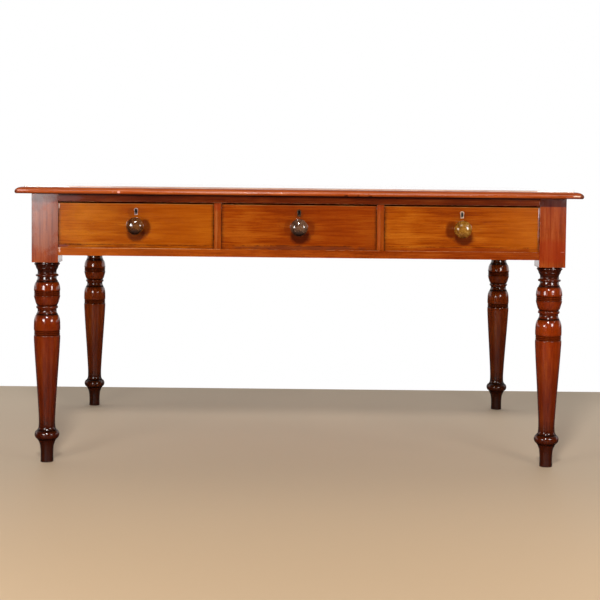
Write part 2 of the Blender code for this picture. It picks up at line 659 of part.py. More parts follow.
def build_stops():
    """Two glued stops behind each drawer front, on the bottom rail."""
    low = FLOOR_Z + SEAT_GAP
    face = RAIL_FACE_Y + FRONT_THICKNESS + SEAT_GAP
    for drawer_name, drawer_x in zip(DRAWER_NAMES, DRAWER_XS):
        for share, (side_name, _) in zip(STOP_PLACE_SHARES, SIDES):
            x = drawer_x + OPENING_WIDTH * (share - 0.5)
            x_span = (x - STOP_WIDTH / 2, x + STOP_WIDTH / 2)
            block = box(x_span, (face, face + STOP_LENGTH), (low, low + STOP_THICKNESS))
            name = f"{drawer_name}_drawer_{side_name}_stop"
            place(name, solid(name, [block]), "framing_wood", (x, face, low))


def keyhole(margin=0):
    """A keyhole's outline as (x, z) points, grown by the margin: a round head over a tapered slot."""
    head = KEYHOLE_HEAD_DIAMETER / 2 + margin
    neck = KEYHOLE_NECK_WIDTH / 2 + margin
    foot = KEYHOLE_FOOT_WIDTH / 2 + margin
    start = -math.acos(min(1, neck / head))
    step_turn = (math.pi - 2 * start) / KEYHOLE_ARC_STEPS
    turns = [start + step_turn * step for step in range(KEYHOLE_ARC_STEPS + 1)]
    arc = [(head * math.cos(turn), KEYHOLE_Z + head * math.sin(turn)) for turn in turns]
    low = KEYHOLE_Z - KEYHOLE_DROP - margin
    return [*arc, (-foot, low), (foot, low)]


def front_tails(side, margin=0, run_in=0):
    """The dovetails at the front of a drawer side, as shapes."""
    inner = DRAWER_INNER - margin
    outer = DRAWER_HALF + (CUT_OVERRUN if margin else 0)
    x_span = sorted((side * inner, side * outer))
    places = tail_places(0, SIDE_HEIGHT, FRONT_TAILS)
    outlines = [tail(FRONT_SHOULDER, -1, FRONT_TAIL_LENGTH, *at, margin, run_in) for at in places]
    return [prism("X", outline, *x_span) for outline in outlines]


def back_tails(side, margin, run_in):
    """The dovetails at the back of a drawer side, as shapes."""
    x_span = sorted((side * (DRAWER_INNER - margin), side * (DRAWER_HALF + CUT_OVERRUN)))
    places = tail_places(BACK_LOW, BACK_TOP, BACK_TAILS)
    length = BACK_TAIL_LENGTH + CUT_OVERRUN
    outlines = [
        tail(BACK_SHOULDER, 1, length, centre, width + 2 * CUT_OVERRUN * TAIL_SLOPE_SHARE, margin, run_in)
        for centre, width in places
    ]
    return [prism("X", outline, *x_span) for outline in outlines]


def panel_groove(x_span, y_span):
    """The groove that holds the drawer bottom, as a shape."""
    return box(x_span, y_span, (PANEL_RISE - SEAT_GAP, PANEL_TOP + SEAT_GAP))


def lock_boxes(margin=0, open_edge=0):
    """The lock's case, back plate and selvage, as shapes that may run out past the front's edges."""
    back, top = FRONT_THICKNESS + open_edge, FRONT_HEIGHT + open_edge
    plate_half, case_half = LOCK_PLATE_WIDTH / 2 + margin, LOCK_CASE_WIDTH / 2 + margin
    plate_low = FRONT_HEIGHT - LOCK_PLATE_HEIGHT - margin
    case_back = back if open_edge else PLATE_FACE + LOCK_PLATE_THICKNESS / 2
    case_top = top if open_edge else CASE_TOP + SELVAGE_THICKNESS / 2
    return [
        box((-plate_half, plate_half), (PLATE_FACE - margin, back), (plate_low, top)),
        box((-plate_half, plate_half), (CASE_FACE - margin, back), (CASE_TOP - margin, top)),
        box((-case_half, case_half), (CASE_FACE - margin, case_back), (CASE_LOW - margin, case_top)),
    ]


def drawer_front_mesh():
    """The drawer front, with its dovetail sockets, groove, lock mortise, keyhole and knob hole."""
    groove_half = DRAWER_INNER + SIDE_GROOVE_CUT
    stem = KNOB_STEM_DIAMETER / 2 + SEAT_GAP
    length = FRONT_THICKNESS + 2 * CUT_OVERRUN
    hole_frame = forward_frame(FRONT_THICKNESS + CUT_OVERRUN, KNOB_Z)
    hole = turned([(stem, 0), (stem, length)], KNOB_SIDES, hole_frame)
    cuts = [shape for _, side in SIDES for shape in front_tails(side, SEAT_GAP, CUT_OVERRUN)]
    cuts.append(
        panel_groove(
            (-groove_half, groove_half),
            (FRONT_THICKNESS - FRONT_GROOVE_CUT, FRONT_THICKNESS + CUT_OVERRUN),
        )
    )
    cuts += [hole, *lock_boxes(SEAT_GAP, CUT_OVERRUN)]
    escutcheon_outline = keyhole(ESCUTCHEON_WALL + SEAT_GAP)
    escutcheon_seat = ESCUTCHEON_DEPTH - ESCUTCHEON_PROUD + SEAT_GAP
    cuts.append(prism("Y", keyhole(), -CUT_OVERRUN, CASE_FACE + CUT_OVERRUN))
    cuts.append(prism("Y", escutcheon_outline, -CUT_OVERRUN, escutcheon_seat))
    board = box((-DRAWER_HALF, DRAWER_HALF), (0, FRONT_THICKNESS), (0, FRONT_HEIGHT))
    return solid("drawer_front", [board], cuts)


def drawer_side_mesh(side):
    """A drawer side, with dovetails at both ends, a rounded back corner and the bottom's groove."""
    outline = [
        corner
        for at in tail_places(0, SIDE_HEIGHT, FRONT_TAILS)
        for corner in tail(FRONT_SHOULDER, -1, FRONT_TAIL_LENGTH - SEAT_GAP, at[0], at[1])
    ]
    corner_start = (DRAWER_LENGTH - SIDE_CORNER_RADIUS, SIDE_HEIGHT)
    corner_end = (DRAWER_LENGTH, SIDE_HEIGHT - SIDE_CORNER_RADIUS)
    outline += [(FRONT_SHOULDER, SIDE_HEIGHT), corner_start]
    outline += quarter_round(corner_start, corner_end, SIDE_CORNER_STEPS, level_start=True)
    outline += [(DRAWER_LENGTH, BACK_TOP + SEAT_GAP), (BACK_SHOULDER, BACK_TOP + SEAT_GAP)]
    for centre, width in reversed(tail_places(BACK_LOW, BACK_TOP, BACK_TAILS)):
        outline += reversed(tail(BACK_SHOULDER, 1, BACK_TAIL_LENGTH, centre, width))
    outline += [(BACK_SHOULDER, BACK_LOW - SEAT_GAP), (DRAWER_LENGTH, BACK_LOW - SEAT_GAP)]
    outline += [(DRAWER_LENGTH, 0), (FRONT_SHOULDER, 0)]
    board = prism("X", outline, *sorted((side * DRAWER_INNER, side * DRAWER_HALF)))
    x_span = sorted((side * (DRAWER_INNER - CUT_OVERRUN), side * (DRAWER_INNER + SIDE_GROOVE_CUT)))
    return solid("drawer_side", [board], [panel_groove(x_span, (0, DRAWER_LENGTH + CUT_OVERRUN))])


def drawer_back_mesh():
    """The drawer back, which stands on the bottom and is pinned between the sides' dovetails."""
    board = box((-DRAWER_HALF, DRAWER_HALF), (BACK_INNER, DRAWER_LENGTH), (BACK_LOW, BACK_TOP))
    cuts = [shape for _, side in SIDES for shape in back_tails(side, SEAT_GAP, CUT_OVERRUN)]
    return solid("drawer_back", [board], cuts)


def drawer_panel_mesh():
    """The drawer bottom, held in the grooves and run through under the back."""
    half = DRAWER_INNER + SIDE_GROOVE_CUT - SEAT_GAP
    start = FRONT_THICKNESS - FRONT_GROOVE_CUT + SEAT_GAP
    return solid("drawer_bottom", [box((-half, half), (start, DRAWER_LENGTH), (PANEL_RISE, PANEL_TOP))])


def forward_frame(back, level):
    """A turning's frame, whose height runs forward along -Y from the given depth at the given level."""
    return Matrix.Translation((0, back, level)) @ Matrix.Rotation(math.pi / 2, 4, "X")


def knob_mesh():
    """The knob: a stem through the front, a collar, a waisted neck and a domed bun."""
    stem, collar, neck = KNOB_STEM_DIAMETER / 2, KNOB_COLLAR_DIAMETER / 2, KNOB_NECK_DIAMETER / 2
    bun, tip = KNOB_DIAMETER / 2, KNOB_TIP_DIAMETER / 2
    seat = FRONT_THICKNESS + SEAT_GAP
    neck_start = seat + KNOB_COLLAR_THICKNESS
    neck_end = neck_start + KNOB_NECK_LENGTH
    widest = neck_end + KNOB_FLARE_LENGTH
    profile = [(stem, 0), (stem, seat), (collar, seat), (collar, neck_start)]
    cove_end = (neck, neck_start + KNOB_NECK_LENGTH / 2)
    profile += quarter_round(profile[-1], cove_end, COVE_STEPS, level_start=True)
    profile += [(neck, neck_end)]
    profile += quarter_round(profile[-1], (bun, widest), KNOB_CURVE_STEPS, level_start=True)
    top = (tip, widest + KNOB_DOME_LENGTH)
    profile += quarter_round(profile[-1], top, KNOB_CURVE_STEPS + 1, level_start=False)
    bun_turning = turned(profile, KNOB_SIDES, forward_frame(FRONT_THICKNESS, KNOB_Z))
    return solid("knob", [bun_turning], smooth=True)


def escutcheon_mesh():
    """The thread escutcheon: a keyhole-shaped brass rim let into the drawer front."""
    low, high = -ESCUTCHEON_PROUD, ESCUTCHEON_DEPTH - ESCUTCHEON_PROUD
    rim = prism("Y", keyhole(ESCUTCHEON_WALL), low, high)
    return solid("escutcheon", [rim], [prism("Y", keyhole(), low - CUT_OVERRUN, high + CUT_OVERRUN)])


def lock_case_mesh():
    """The lock: back plate, selvage and hollow case, with the pin for the key inside."""
    half = LOCK_CASE_WIDTH / 2 - LOCK_CASE_WALL
    head_half = BOLT_HEAD_WIDTH / 2 + SEAT_GAP
    cavity = box((-half, half), (CASE_FACE + LOCK_CASE_WALL, PLATE_FACE), (CAVITY_LOW, CASE_TOP))
    mouth = box(
        (-head_half, head_half),
        (BOLT_FACE - SEAT_GAP, BOLT_BACK + SEAT_GAP),
        (CASE_TOP - CUT_OVERRUN, FRONT_HEIGHT + CUT_OVERRUN),
    )
    key = prism("Y", keyhole(), CASE_FACE - CUT_OVERRUN, CASE_FACE + LOCK_CASE_WALL + CUT_OVERRUN)
    radius = LOCK_PIN_DIAMETER / 2
    pin_back = FRONT_THICKNESS - LOCK_PLATE_THICKNESS / 2
    pin_length = pin_back - CASE_FACE - LOCK_CASE_WALL
    pin = turned([(radius, 0), (radius, pin_length)], LOCK_PIN_SIDES, forward_frame(pin_back, KEYHOLE_Z))
    hollow = solid("lock_case", lock_boxes(), [cavity, mouth, key])
    return joined(hollow, pin)


def joined(mesh, shape):
    """A mesh with one more shape joined to it."""

    def add(bm):
        bm.from_mesh(mesh)

    return solid(mesh.name, [add, shape])


def lock_bolt_mesh():
    """The bolt: a head that rises through the selvage, over two cheeks astride the key's pin."""
    head, tail_half = BOLT_HEAD_WIDTH / 2, BOLT_TAIL_WIDTH / 2
    low = CAVITY_LOW + SEAT_GAP
    shoulder = CASE_TOP - SEAT_GAP - BOLT_TRAVEL
    talon = KEYHOLE_Z + KEYHOLE_DROP - BOLT_TRAVEL
    window = tail_half - BOLT_CHEEK_WIDTH
    right = [(window, talon), (window, low), (tail_half, low), (tail_half, shoulder), (head, shoulder)]
    right.append((head, FRONT_HEIGHT))
    outline = right + [(-x, z) for x, z in reversed(right)]
    return solid("lock_bolt", [prism("Y", outline, BOLT_FACE, BOLT_BACK)])


def build_drawers():
    """Three drawers, each hung on an empty at the lower front edge, which slides along -Y."""
    meshes = {
        "front": (drawer_front_mesh(), "drawer_front_mahogany"),
        "left_side": (drawer_side_mesh(-1), "drawer_lining"),
        "right_side": (drawer_side_mesh(1), "drawer_lining"),
        "back": (drawer_back_mesh(), "drawer_lining"),
        "bottom": (drawer_panel_mesh(), "drawer_lining"),
        "knob": (knob_mesh(), "knob_wood"),
        "escutcheon": (escutcheon_mesh(), "brass"),
        "lock_case": (lock_case_mesh(), "steel"),
    }
    bolt_origin = (0, BOLT_FACE, CAVITY_LOW)
    bolt = lock_bolt_mesh()
    for name, x in zip(DRAWER_NAMES, DRAWER_XS):
        slide = bpy.data.objects.new(f"{name}_drawer_slide", None)
        slide.location = (x, RAIL_FACE_Y, FLOOR_Z + DRAWER_FLOOR_CLEARANCE)
        slide.empty_display_size = KNOB_DIAMETER
        bpy.context.collection.objects.link(slide)
        for piece_name, (mesh, material) in meshes.items():
            place(f"{name}_drawer_{piece_name}", mesh, material, parent=slide)
        place(f"{name}_drawer_lock_bolt", bolt, "steel", bolt_origin, slide)


def main():
    for item in list(bpy.data.objects):
        bpy.data.objects.remove(item)
    build_top()
    build_legs()
    build_front_rails()
    build_dividers()
    build_aprons()
    build_runners()
    build_stops()
    build_drawers()


main()
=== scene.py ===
"""Library desk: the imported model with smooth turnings, polished woods and a plain studio, in metres."""

import json
import math

import bmesh
import bpy
from mathutils import Matrix, Vector

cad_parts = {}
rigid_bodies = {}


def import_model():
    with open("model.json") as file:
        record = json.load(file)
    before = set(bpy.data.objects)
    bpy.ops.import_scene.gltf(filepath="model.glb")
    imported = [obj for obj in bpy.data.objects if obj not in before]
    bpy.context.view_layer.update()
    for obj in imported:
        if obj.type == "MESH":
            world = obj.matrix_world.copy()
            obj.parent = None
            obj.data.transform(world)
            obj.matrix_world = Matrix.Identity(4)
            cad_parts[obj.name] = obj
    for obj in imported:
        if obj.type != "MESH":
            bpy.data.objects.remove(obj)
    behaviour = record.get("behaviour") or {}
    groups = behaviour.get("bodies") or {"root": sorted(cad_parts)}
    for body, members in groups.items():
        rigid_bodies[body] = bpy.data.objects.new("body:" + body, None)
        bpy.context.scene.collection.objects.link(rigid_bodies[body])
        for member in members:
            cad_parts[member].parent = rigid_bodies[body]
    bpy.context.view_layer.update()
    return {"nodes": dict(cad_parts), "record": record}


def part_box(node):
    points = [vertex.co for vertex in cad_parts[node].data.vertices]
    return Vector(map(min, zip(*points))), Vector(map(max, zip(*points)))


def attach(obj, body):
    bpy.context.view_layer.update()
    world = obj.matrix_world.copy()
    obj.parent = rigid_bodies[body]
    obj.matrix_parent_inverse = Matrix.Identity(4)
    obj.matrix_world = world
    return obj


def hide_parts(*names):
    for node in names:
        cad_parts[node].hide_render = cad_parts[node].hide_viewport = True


for leftover in list(bpy.data.objects):
    bpy.data.objects.remove(leftover)
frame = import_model()
nodes = frame["nodes"]

# Camera, fitted to the photograph: pixels of its 600 by 600 frame, and radians
IMAGE_SIDE = 600
FOCAL_PIXELS = 1342.7
CENTRE_PIXEL = (293.69, 242.00)
CAMERA_PLACE = (-0.0235, -4.1288, 0.8066)
CAMERA_PITCH = 0.0523
CAMERA_YAW = 0.0026
CAMERA_ROLL = 0.0106
SENSOR_WIDTH = 36

# Stage: a floor paler towards the back, and the levels where the wall's reflection starts and fades
STAGE_REACH = 12.0
FLOOR_COLOUR = (198, 168, 132)
FLOOR_BACK_COLOUR = (226, 204, 176)
FLOOR_TURN = (-1.6, 0.6)
FLOOR_IN_GLOSS = (34, 25, 16)
WALL_Y = 0.83
WALL_GLOSS_LOW = (0.43, 0.48)
WALL_GLOSS_HIGH = (0.84, 1.2)
WALL_GLOSS_ABOVE = 0.12

# Room: where it turns from dim in front to bright behind, and how bright, as light and in gloss
ROOM_LIGHT = (-0.3, 0.5, 0.12, 0.8)
ROOM_GLOSS = (-0.1, 0.5, 0.02, 0.25)
DESK_MIDDLE = (0, -0.45, 0.6)

# Lamps: place, size, power, aim, and the share of its height over which a lamp fades in
LIGHTS = {
    "left_softbox": ((-1.42, -2.3, 0.88), (0.62, 0.46), 12.5, DESK_MIDDLE, 0),
    "right_softbox": ((1.34, -1.95, 0.88), (0.56, 0.44), 9.0, DESK_MIDDLE, 0),
    "front_lamp": ((-0.28, -3.9, 2.9), (0.42, 0.42), 88, DESK_MIDDLE, 0),
    "right_lamp": ((3.36, -2.3, 2.8), (0.22, 0.22), 6, DESK_MIDDLE, 0),
    "low_card": ((-1.535, -4.12, 0.57), (0.44, 0.6), 3.4, (-0.69, -0.45, 0.66), 0.8),
}

# Softened edges, and smoothness of the pieces that replace the CAD's
WELD_DISTANCE = 0.00001
FLAT_ANGLE = math.radians(1)
SHARP_ANGLE = math.radians(37)
SOFTENING = {
    "WELD": {"merge_threshold": WELD_DISTANCE},
    "DECIMATE": {"decimate_type": "DISSOLVE", "angle_limit": FLAT_ANGLE},
    "BEVEL": {"segments": 2, "limit_method": "ANGLE", "angle_limit": SHARP_ANGLE},
    "WEIGHTED_NORMAL": {"weight": 100},
}
WOOD_EDGE = 0.0005
METAL_EDGE = 0.0002
BLOCK_EDGE = 0.001
BLOCK_FACE_AREA = 0.003
TOP_CORNER_RADIUS = 0.003
TOP_CORNER_STEPS = 6
LEG_SIDES = 72
KNOB_SIDES = 56
KNOB_STEP = 0.0007
CURVE_STEPS = 4

# Cut lines of a leg between their flat lands, its ridges, and the steps at its fillets
GROOVE_SPAN = 0.008
INCISION_DEPTH = 0.0014
INCISION_HALF_WIDTH = 0.0011
BAND_RECESS = 0.0006
RIDGE_SPAN = 0.016
RIDGE_RISE = 0.002
RIDGE_STEPS = 3
FILLET_STEP = 0.0008

# Fillets of a leg, with level, how far proud, and height, and the same for the bead at its waist
FILLETS = {0.0635: (0, 0.0022), 0.0885: (0, 0.0022), 0.4095: (0.0003, 0.0026), 0.5005: (0.0009, 0.0036)}
WAIST_BEAD = (0.5367, 0.0009, 0.0024)

# Rounding of a leg's collar, and its section in steps of that size
COLLAR_ROUND = 0.0022
COLLAR_SECTION = ((-1, 0), (-0.25, 0.5), (0, 1.3), (-0.25, 2.3), (-1, 3.1))

# Spans of height where the turning is a little slimmer or fuller
FULLNESS = ((0.4335, 0.459, -0.0016), (0.4825, 0.511, 0.0013), (0.544, 0.554, 0.0005))

# Hollows of a turning, darkened as dirt and as painted shade, and its cut lines, stained and without polish
HOLLOW_REACH = 0.011
HOLLOW_DEPTH = 0.007
HOLLOW_DARKNESS = 0.92
LINE_REACH = 0.002
LINE_DEPTH = 0.0007
LINE_SPREAD = 0.0034
LINE_STAIN = 0.62
LINE_BARENESS = 0.95

# Screw heads of a lock: inset, slot, turn, and (radius, height) points from the plate outwards
SCREW_INSET = 0.004
SCREW_SLOT = 0.0008
SCREW_TURN = 0.6
SCREW_STEPS = 12
SCREW_PROFILE = ((0.0024, -0.0002), (0.0024, 0.0002), (0.0021, 0.0005), (0.0012, 0.0007))

# Woods, from dark to light, in sRGB
RAIL_TONES = ((122, 42, 4), (160, 68, 10), (186, 96, 26))
BLOCK_TONES = ((116, 38, 6), (156, 62, 14), (182, 90, 34))
TOP_TONES = ((126, 44, 9), (177, 76, 23), (206, 106, 46))
UPPER_RAIL_TONES = ((100, 34, 9), (134, 52, 14), (164, 82, 32))
DIVIDER_TONES = ((106, 34, 3), (144, 58, 8), (172, 84, 20))
GOLD_TONES = ((146, 62, 2), (172, 84, 5), (194, 108, 16))
RUDDY_TONES = ((130, 46, 2), (156, 66, 4), (180, 90, 14))
AMBER_TONES = ((138, 54, 2), (166, 76, 5), (190, 102, 18))
LINING_TONES = ((140, 98, 54), (178, 134, 84), (204, 164, 112))
FRAMING_TONES = ((118, 74, 40), (156, 104, 60), (186, 136, 86))
DARK_KNOB_TONES = ((54, 22, 8), (100, 56, 24), (146, 94, 48))
GREY_KNOB_TONES = ((60, 34, 22), (106, 74, 54), (148, 114, 88))
OLIVE_KNOB_TONES = ((104, 58, 8), (156, 102, 28), (196, 148, 66))

# Heart of the tree of each wood: a place, or the way there from the middle of the piece
TOP_HEART = (0, 0.2)
TOP_HEART_DEPTH = 0.35
FRAMING_HEART = (0.3, 0, 0.2)
SIDE_HEART = (0.2, 0, 0.5)
BACK_HEART = (0, 0.4, 0.5)
TO_LEG_HEART = (0.05, 0.06, 0)
TO_FRONT_HEART = (0, 0.07, -0.09)
TO_KNOB_HEART = (0.03, 0, 0.02)

# Grain: waver, rings, and noises with their scale to the metre, detail and weight in the tone
WAVER_SCALE = (1.3, 9, 9)
WAVER = (0, 0.014, 0.014)
RING_SHAPE = (0.035, 1, 1)
RINGS_PER_METRE = 150
RING_CONTRAST = 0.025
STREAKS = ((15, 330, 330), 3.0, 0.62)
RIBBONS = ((3.5, 55, 55), 2.0, 0.5)
CLOUDS = ((9, 20, 20), 2.0, 0.5)
LONG_CLOUDS = ((3.5, 20, 20), 2.0, 0.5)
TONE_STOPS = (0.27, 0.5, 0.75)
PORE_SCALE = (120, 1700, 1700)
PORE_SPAN = (0.6, 0.72)
PORE_DARKNESS = 0.45
STREAK_HEIGHT = 0.35

# Glued boards of the top: how many, and how they differ in grain and tone
TOP_BOARDS = 3
BOARD_SHIFT = (0.83, 0.21)
BOARD_CONTRAST = 0.16

# Noise levels between which roughness turns, and roughness, bump strength and specular level of wood
ROUGHNESS_TURN = (0.3, 0.7)
POLISHED = ((0.15, 0.26), 0.12, 0.12)
UNPOLISHED = ((0.58, 0.75), 0.4, 0.3)

# Polish: how strongly it reflects, and the noise of its thin patches
COAT_IOR = 1.7
KNOB_COAT_IOR = 2.1
PATCH_SCALE = (90, 90, 90)
PATCH_SPAN = (0.3, 0.6, 0.75, 1)

# Polish of the moulding: how far under the top it turns thin, over what height, and what is left
MOULDING_POLISH = (0.0035, 0.003, 0.022)

# Bare wood: tone, share, roughness and soft limit, and how deep the polish goes in front and elsewhere
RAW_TONE = (150, 104, 62)
RAW_SHARE = 0.4
RAW_ROUGHNESS = 0.45
RAW_LIMIT = 0.001
POLISHED_DEPTH = 0.002
INNER_SKIN = 0.001

# Brass of the escutcheons and steel of the locks: bright colour, dull colour and roughness
GREY_BRASS = ((206, 172, 164), (150, 114, 106), 0.34)
PALE_BRASS = ((255, 226, 190), (214, 172, 140), 0.42)
DULL_BRASS = ((136, 98, 62), (74, 48, 28), 0.36)
DULL_STEEL = ((150, 142, 130), (116, 106, 94), 0.4)
METAL_PATCHES = ((420, 420, 420), 4.0)
METAL_SCRATCHES = ((300, 4000, 4000), 2.0)
METAL_TURN = (0.38, 0.62)
DULL_ROUGHNESS = 0.15

# Painted shade in and round a keyhole: depth of its middle, and reach, tint, strength and raggedness in each
# material
KEYHOLE_DEPTH = 0.0065
HOLE_IN_WOOD = ((0.006, 0.0095, 0.011), (6, 3, 2), 1.0, 0.1)
HOLE_IN_STEEL = ((0.007, 0.01, 0.011), (4, 2, 2), 1.0, 0.2)
HOLE_IN_BRASS = ((0.0045, 0.04, 0.0085), (4, 2, 2), 1.0, 0.2)

# Drawers: tones of front and knob, the strength of the painted shade on the knob's lower half, brass, and
# the tint that the front turns to
DRAWERS = {
    "left": (GOLD_TONES, DARK_KNOB_TONES, 0.88, GREY_BRASS, (-0.64, -0.3, (166, 76, 3), 0.5)),
    "middle": (RUDDY_TONES, GREY_KNOB_TONES, 0.92, DULL_BRASS, (-0.12, 0.12, (140, 50, 3), 0.45)),
    "right": (AMBER_TONES, OLIVE_KNOB_TONES, 0.2, PALE_BRASS, (0.46, 0.62, (178, 90, 8), 0.45)),
}

# Tints of dirt and wear; the darkest also paints shade
DIRT_AND_SHADE = (26, 8, 3)
WORN = (214, 150, 104)
PALE = (232, 196, 178)
LILAC = (176, 150, 158)

# Stain of a leg by height, darker towards the foot and darkest just under the block, where it is painted
# shade as well as stain, its tints, and the shade of each leg's turning and block
LEG_STAINS = (
    (0.0, 104), (0.055, 112), (0.076, 138), (0.098, 122), (0.13, 180), (0.22, 200), (0.32, 230),
    (0.395, 240), (0.418, 176), (0.435, 196), (0.468, 236), (0.495, 220), (0.508, 156), (0.53, 118),
    (0.5528, 100),
)
LEG_STAIN_REACH = 0.6
FRONT_STAIN_TINT = (1.0, 0.72, 0.26)
BACK_STAIN_TINT = (0.93, 0.9, 0.44)
BLOCK_LEVEL = 0.5531
LEG_SHADES = {
    "front_left_leg": (0.76, 0.93),
    "front_right_leg": (1.0, 1.0),
    "back_left_leg": (1.05, 0.95),
    "back_right_leg": (0.85, 0.95),
}

# Painted shadow under the top's overhang, on the right block, and on the top rail with some dirt: level,
# reach, tint and strength, with no level for the rail
BLOCK_SHADOW = {"front_right_leg": (0.7192, 0.0016, (66, 20, 20), 0.76)}
RAIL_SHADOW = (0.009, DIRT_AND_SHADE, 0.96)

# Rails, aprons and dividers: grain, tones, way to the heart, and wear of the edges
FRAME = {
    "front_top_rail": ("X", UPPER_RAIL_TONES, (0, 0.08, 0.05), 0.5),
    "front_bottom_rail": ("X", RAIL_TONES, (0, 0.08, 0.05), 0.5),
    "back_apron": ("X", RAIL_TONES, (0, 0.08, 0.05), 0.5),
    "left_apron": ("Y", RAIL_TONES, (0.08, 0, 0.05), 0.4),
    "right_apron": ("Y", RAIL_TONES, (0.08, 0, 0.05), 0.4),
    "left_divider": ("Z", DIVIDER_TONES, (0.03, 0.05, 0), 0),
    "right_divider": ("Z", DIVIDER_TONES, (0.03, 0.05, 0), 0),
}

# Tints that the bottom rail turns to at each end: from, to, tint and strength
RAIL_TINTS = ((0.1, 0.65, (128, 40, 2), 0.35), (0.1, -0.65, (196, 98, 20), 0.4))

# Worn edges: reach, the noise that breaks them, and strength on the legs' blocks
EDGE_REACH = 0.0016
EDGE_NOISE = (60, 60, 60)
EDGE_BREAKS = (0.45, 0.62)
BLOCK_WEAR = 0.4

# Bands along a front's ends, foot and upper edge: reach and strength, streaks, and tint
FRONT_NOISE = (28, 28, 260)
FRONT_BANDS = (
    ((0.0006, 0.0085, 0.6, 0), (0.3, 0.6, 0.5, 1), DIRT_AND_SHADE),
    ((0.004, 0.014, 1, 0), (0.42, 0.6, 0.1, 0.6), (112, 40, 4)),
    # The pale upper edge: wear, with a painted highlight
    ((0.0004, 0.0018, 0.5, 0), (0.4, 0.6, 0.3, 1), (208, 150, 84)),
)

# Painted shade on a knob's lower half: how far below and above its middle it fades
KNOB_SHADE_FADE = (0.019, 0.001)

# Painted shade along the underside of the moulding: tint, where it starts, and reaches with their strengths
MOULDING_SHADE_TINT = (52, 10, 4)
MOULDING_SHADE_START = 0.0002
MOULDING_SHADE = ((0.0075, 0.45), (0.0022, 0.8))

# Lines along the top, the two pale ones painted highlights and the other a dark line along the top's upper
# edge: level, reach, strength and tint, and what breaks them
TOP_LINES = (
    (0.7602, 0.0016, 0.85, (236, 206, 184)),
    (0.762, 0.0007, 0.7, (92, 60, 56)),
    (0.7506, 0.0008, 0.35, (232, 196, 178)),
)
TOP_LINE_NOISE = (26, 26, 90)
TOP_LINE_BREAKS = (0.35, 0.6, 0.75, 1)

# Outline of a spot: noises with scale and detail, and where it fades, in reaches from its centre
SPOT_NOISES = (((420, 420, 420), 3.0), ((55, 55, 55), 2.0))
SPOT_FADE = (0.6, 1.1)

# Marks on the top, nicks and dirt, painted highlights on the moulding and painted dark reflections on its
# ends: centre, reach, tint, strength and raggedness
MOULDING_Y = -0.5235
TOP_SPOTS = (
    ((-0.5005, MOULDING_Y, 0.7475), (0.0034, 0.01, 0.0022), (226, 146, 132), 0.35, 0.8),
    ((-0.485, MOULDING_Y, 0.7472), (0.0042, 0.01, 0.0028), (250, 184, 170), 0.9, 0.8),
    # Painted highlights at the left and right ends of the moulding
    ((-0.742, MOULDING_Y, 0.75), (0.02, 0.02, 0.0022), (236, 170, 156), 0.7, 0.8),
    ((0.745, MOULDING_Y, 0.7478), (0.013, 0.02, 0.0018), (255, 226, 200), 0.9, 0.5),
    # Painted dark reflections on the ends of the nose
    ((0.76, -0.5, 0.748), (0.006, 0.06, 0.0095), (40, 14, 8), 0.7, 0.8),
    ((-0.762, -0.5, 0.748), (0.005, 0.06, 0.0095), (60, 20, 16), 0.7, 0.8),
    ((0.125, MOULDING_Y, 0.7435), (0.006, 0.01, 0.0022), DIRT_AND_SHADE, 0.8, 1.2),
    ((0.158, MOULDING_Y, 0.744), (0.004, 0.01, 0.0018), DIRT_AND_SHADE, 0.7, 1.2),
    ((0.19, MOULDING_Y, 0.743), (0.007, 0.01, 0.0018), DIRT_AND_SHADE, 0.7, 1.2),
    # Painted highlight lines along the moulding
    ((-0.21, MOULDING_Y, 0.7478), (0.16, 0.012, 0.0007), PALE, 0.5, 1.4),
    ((0.33, MOULDING_Y, 0.7482), (0.22, 0.012, 0.0007), PALE, 0.4, 1.6),
)
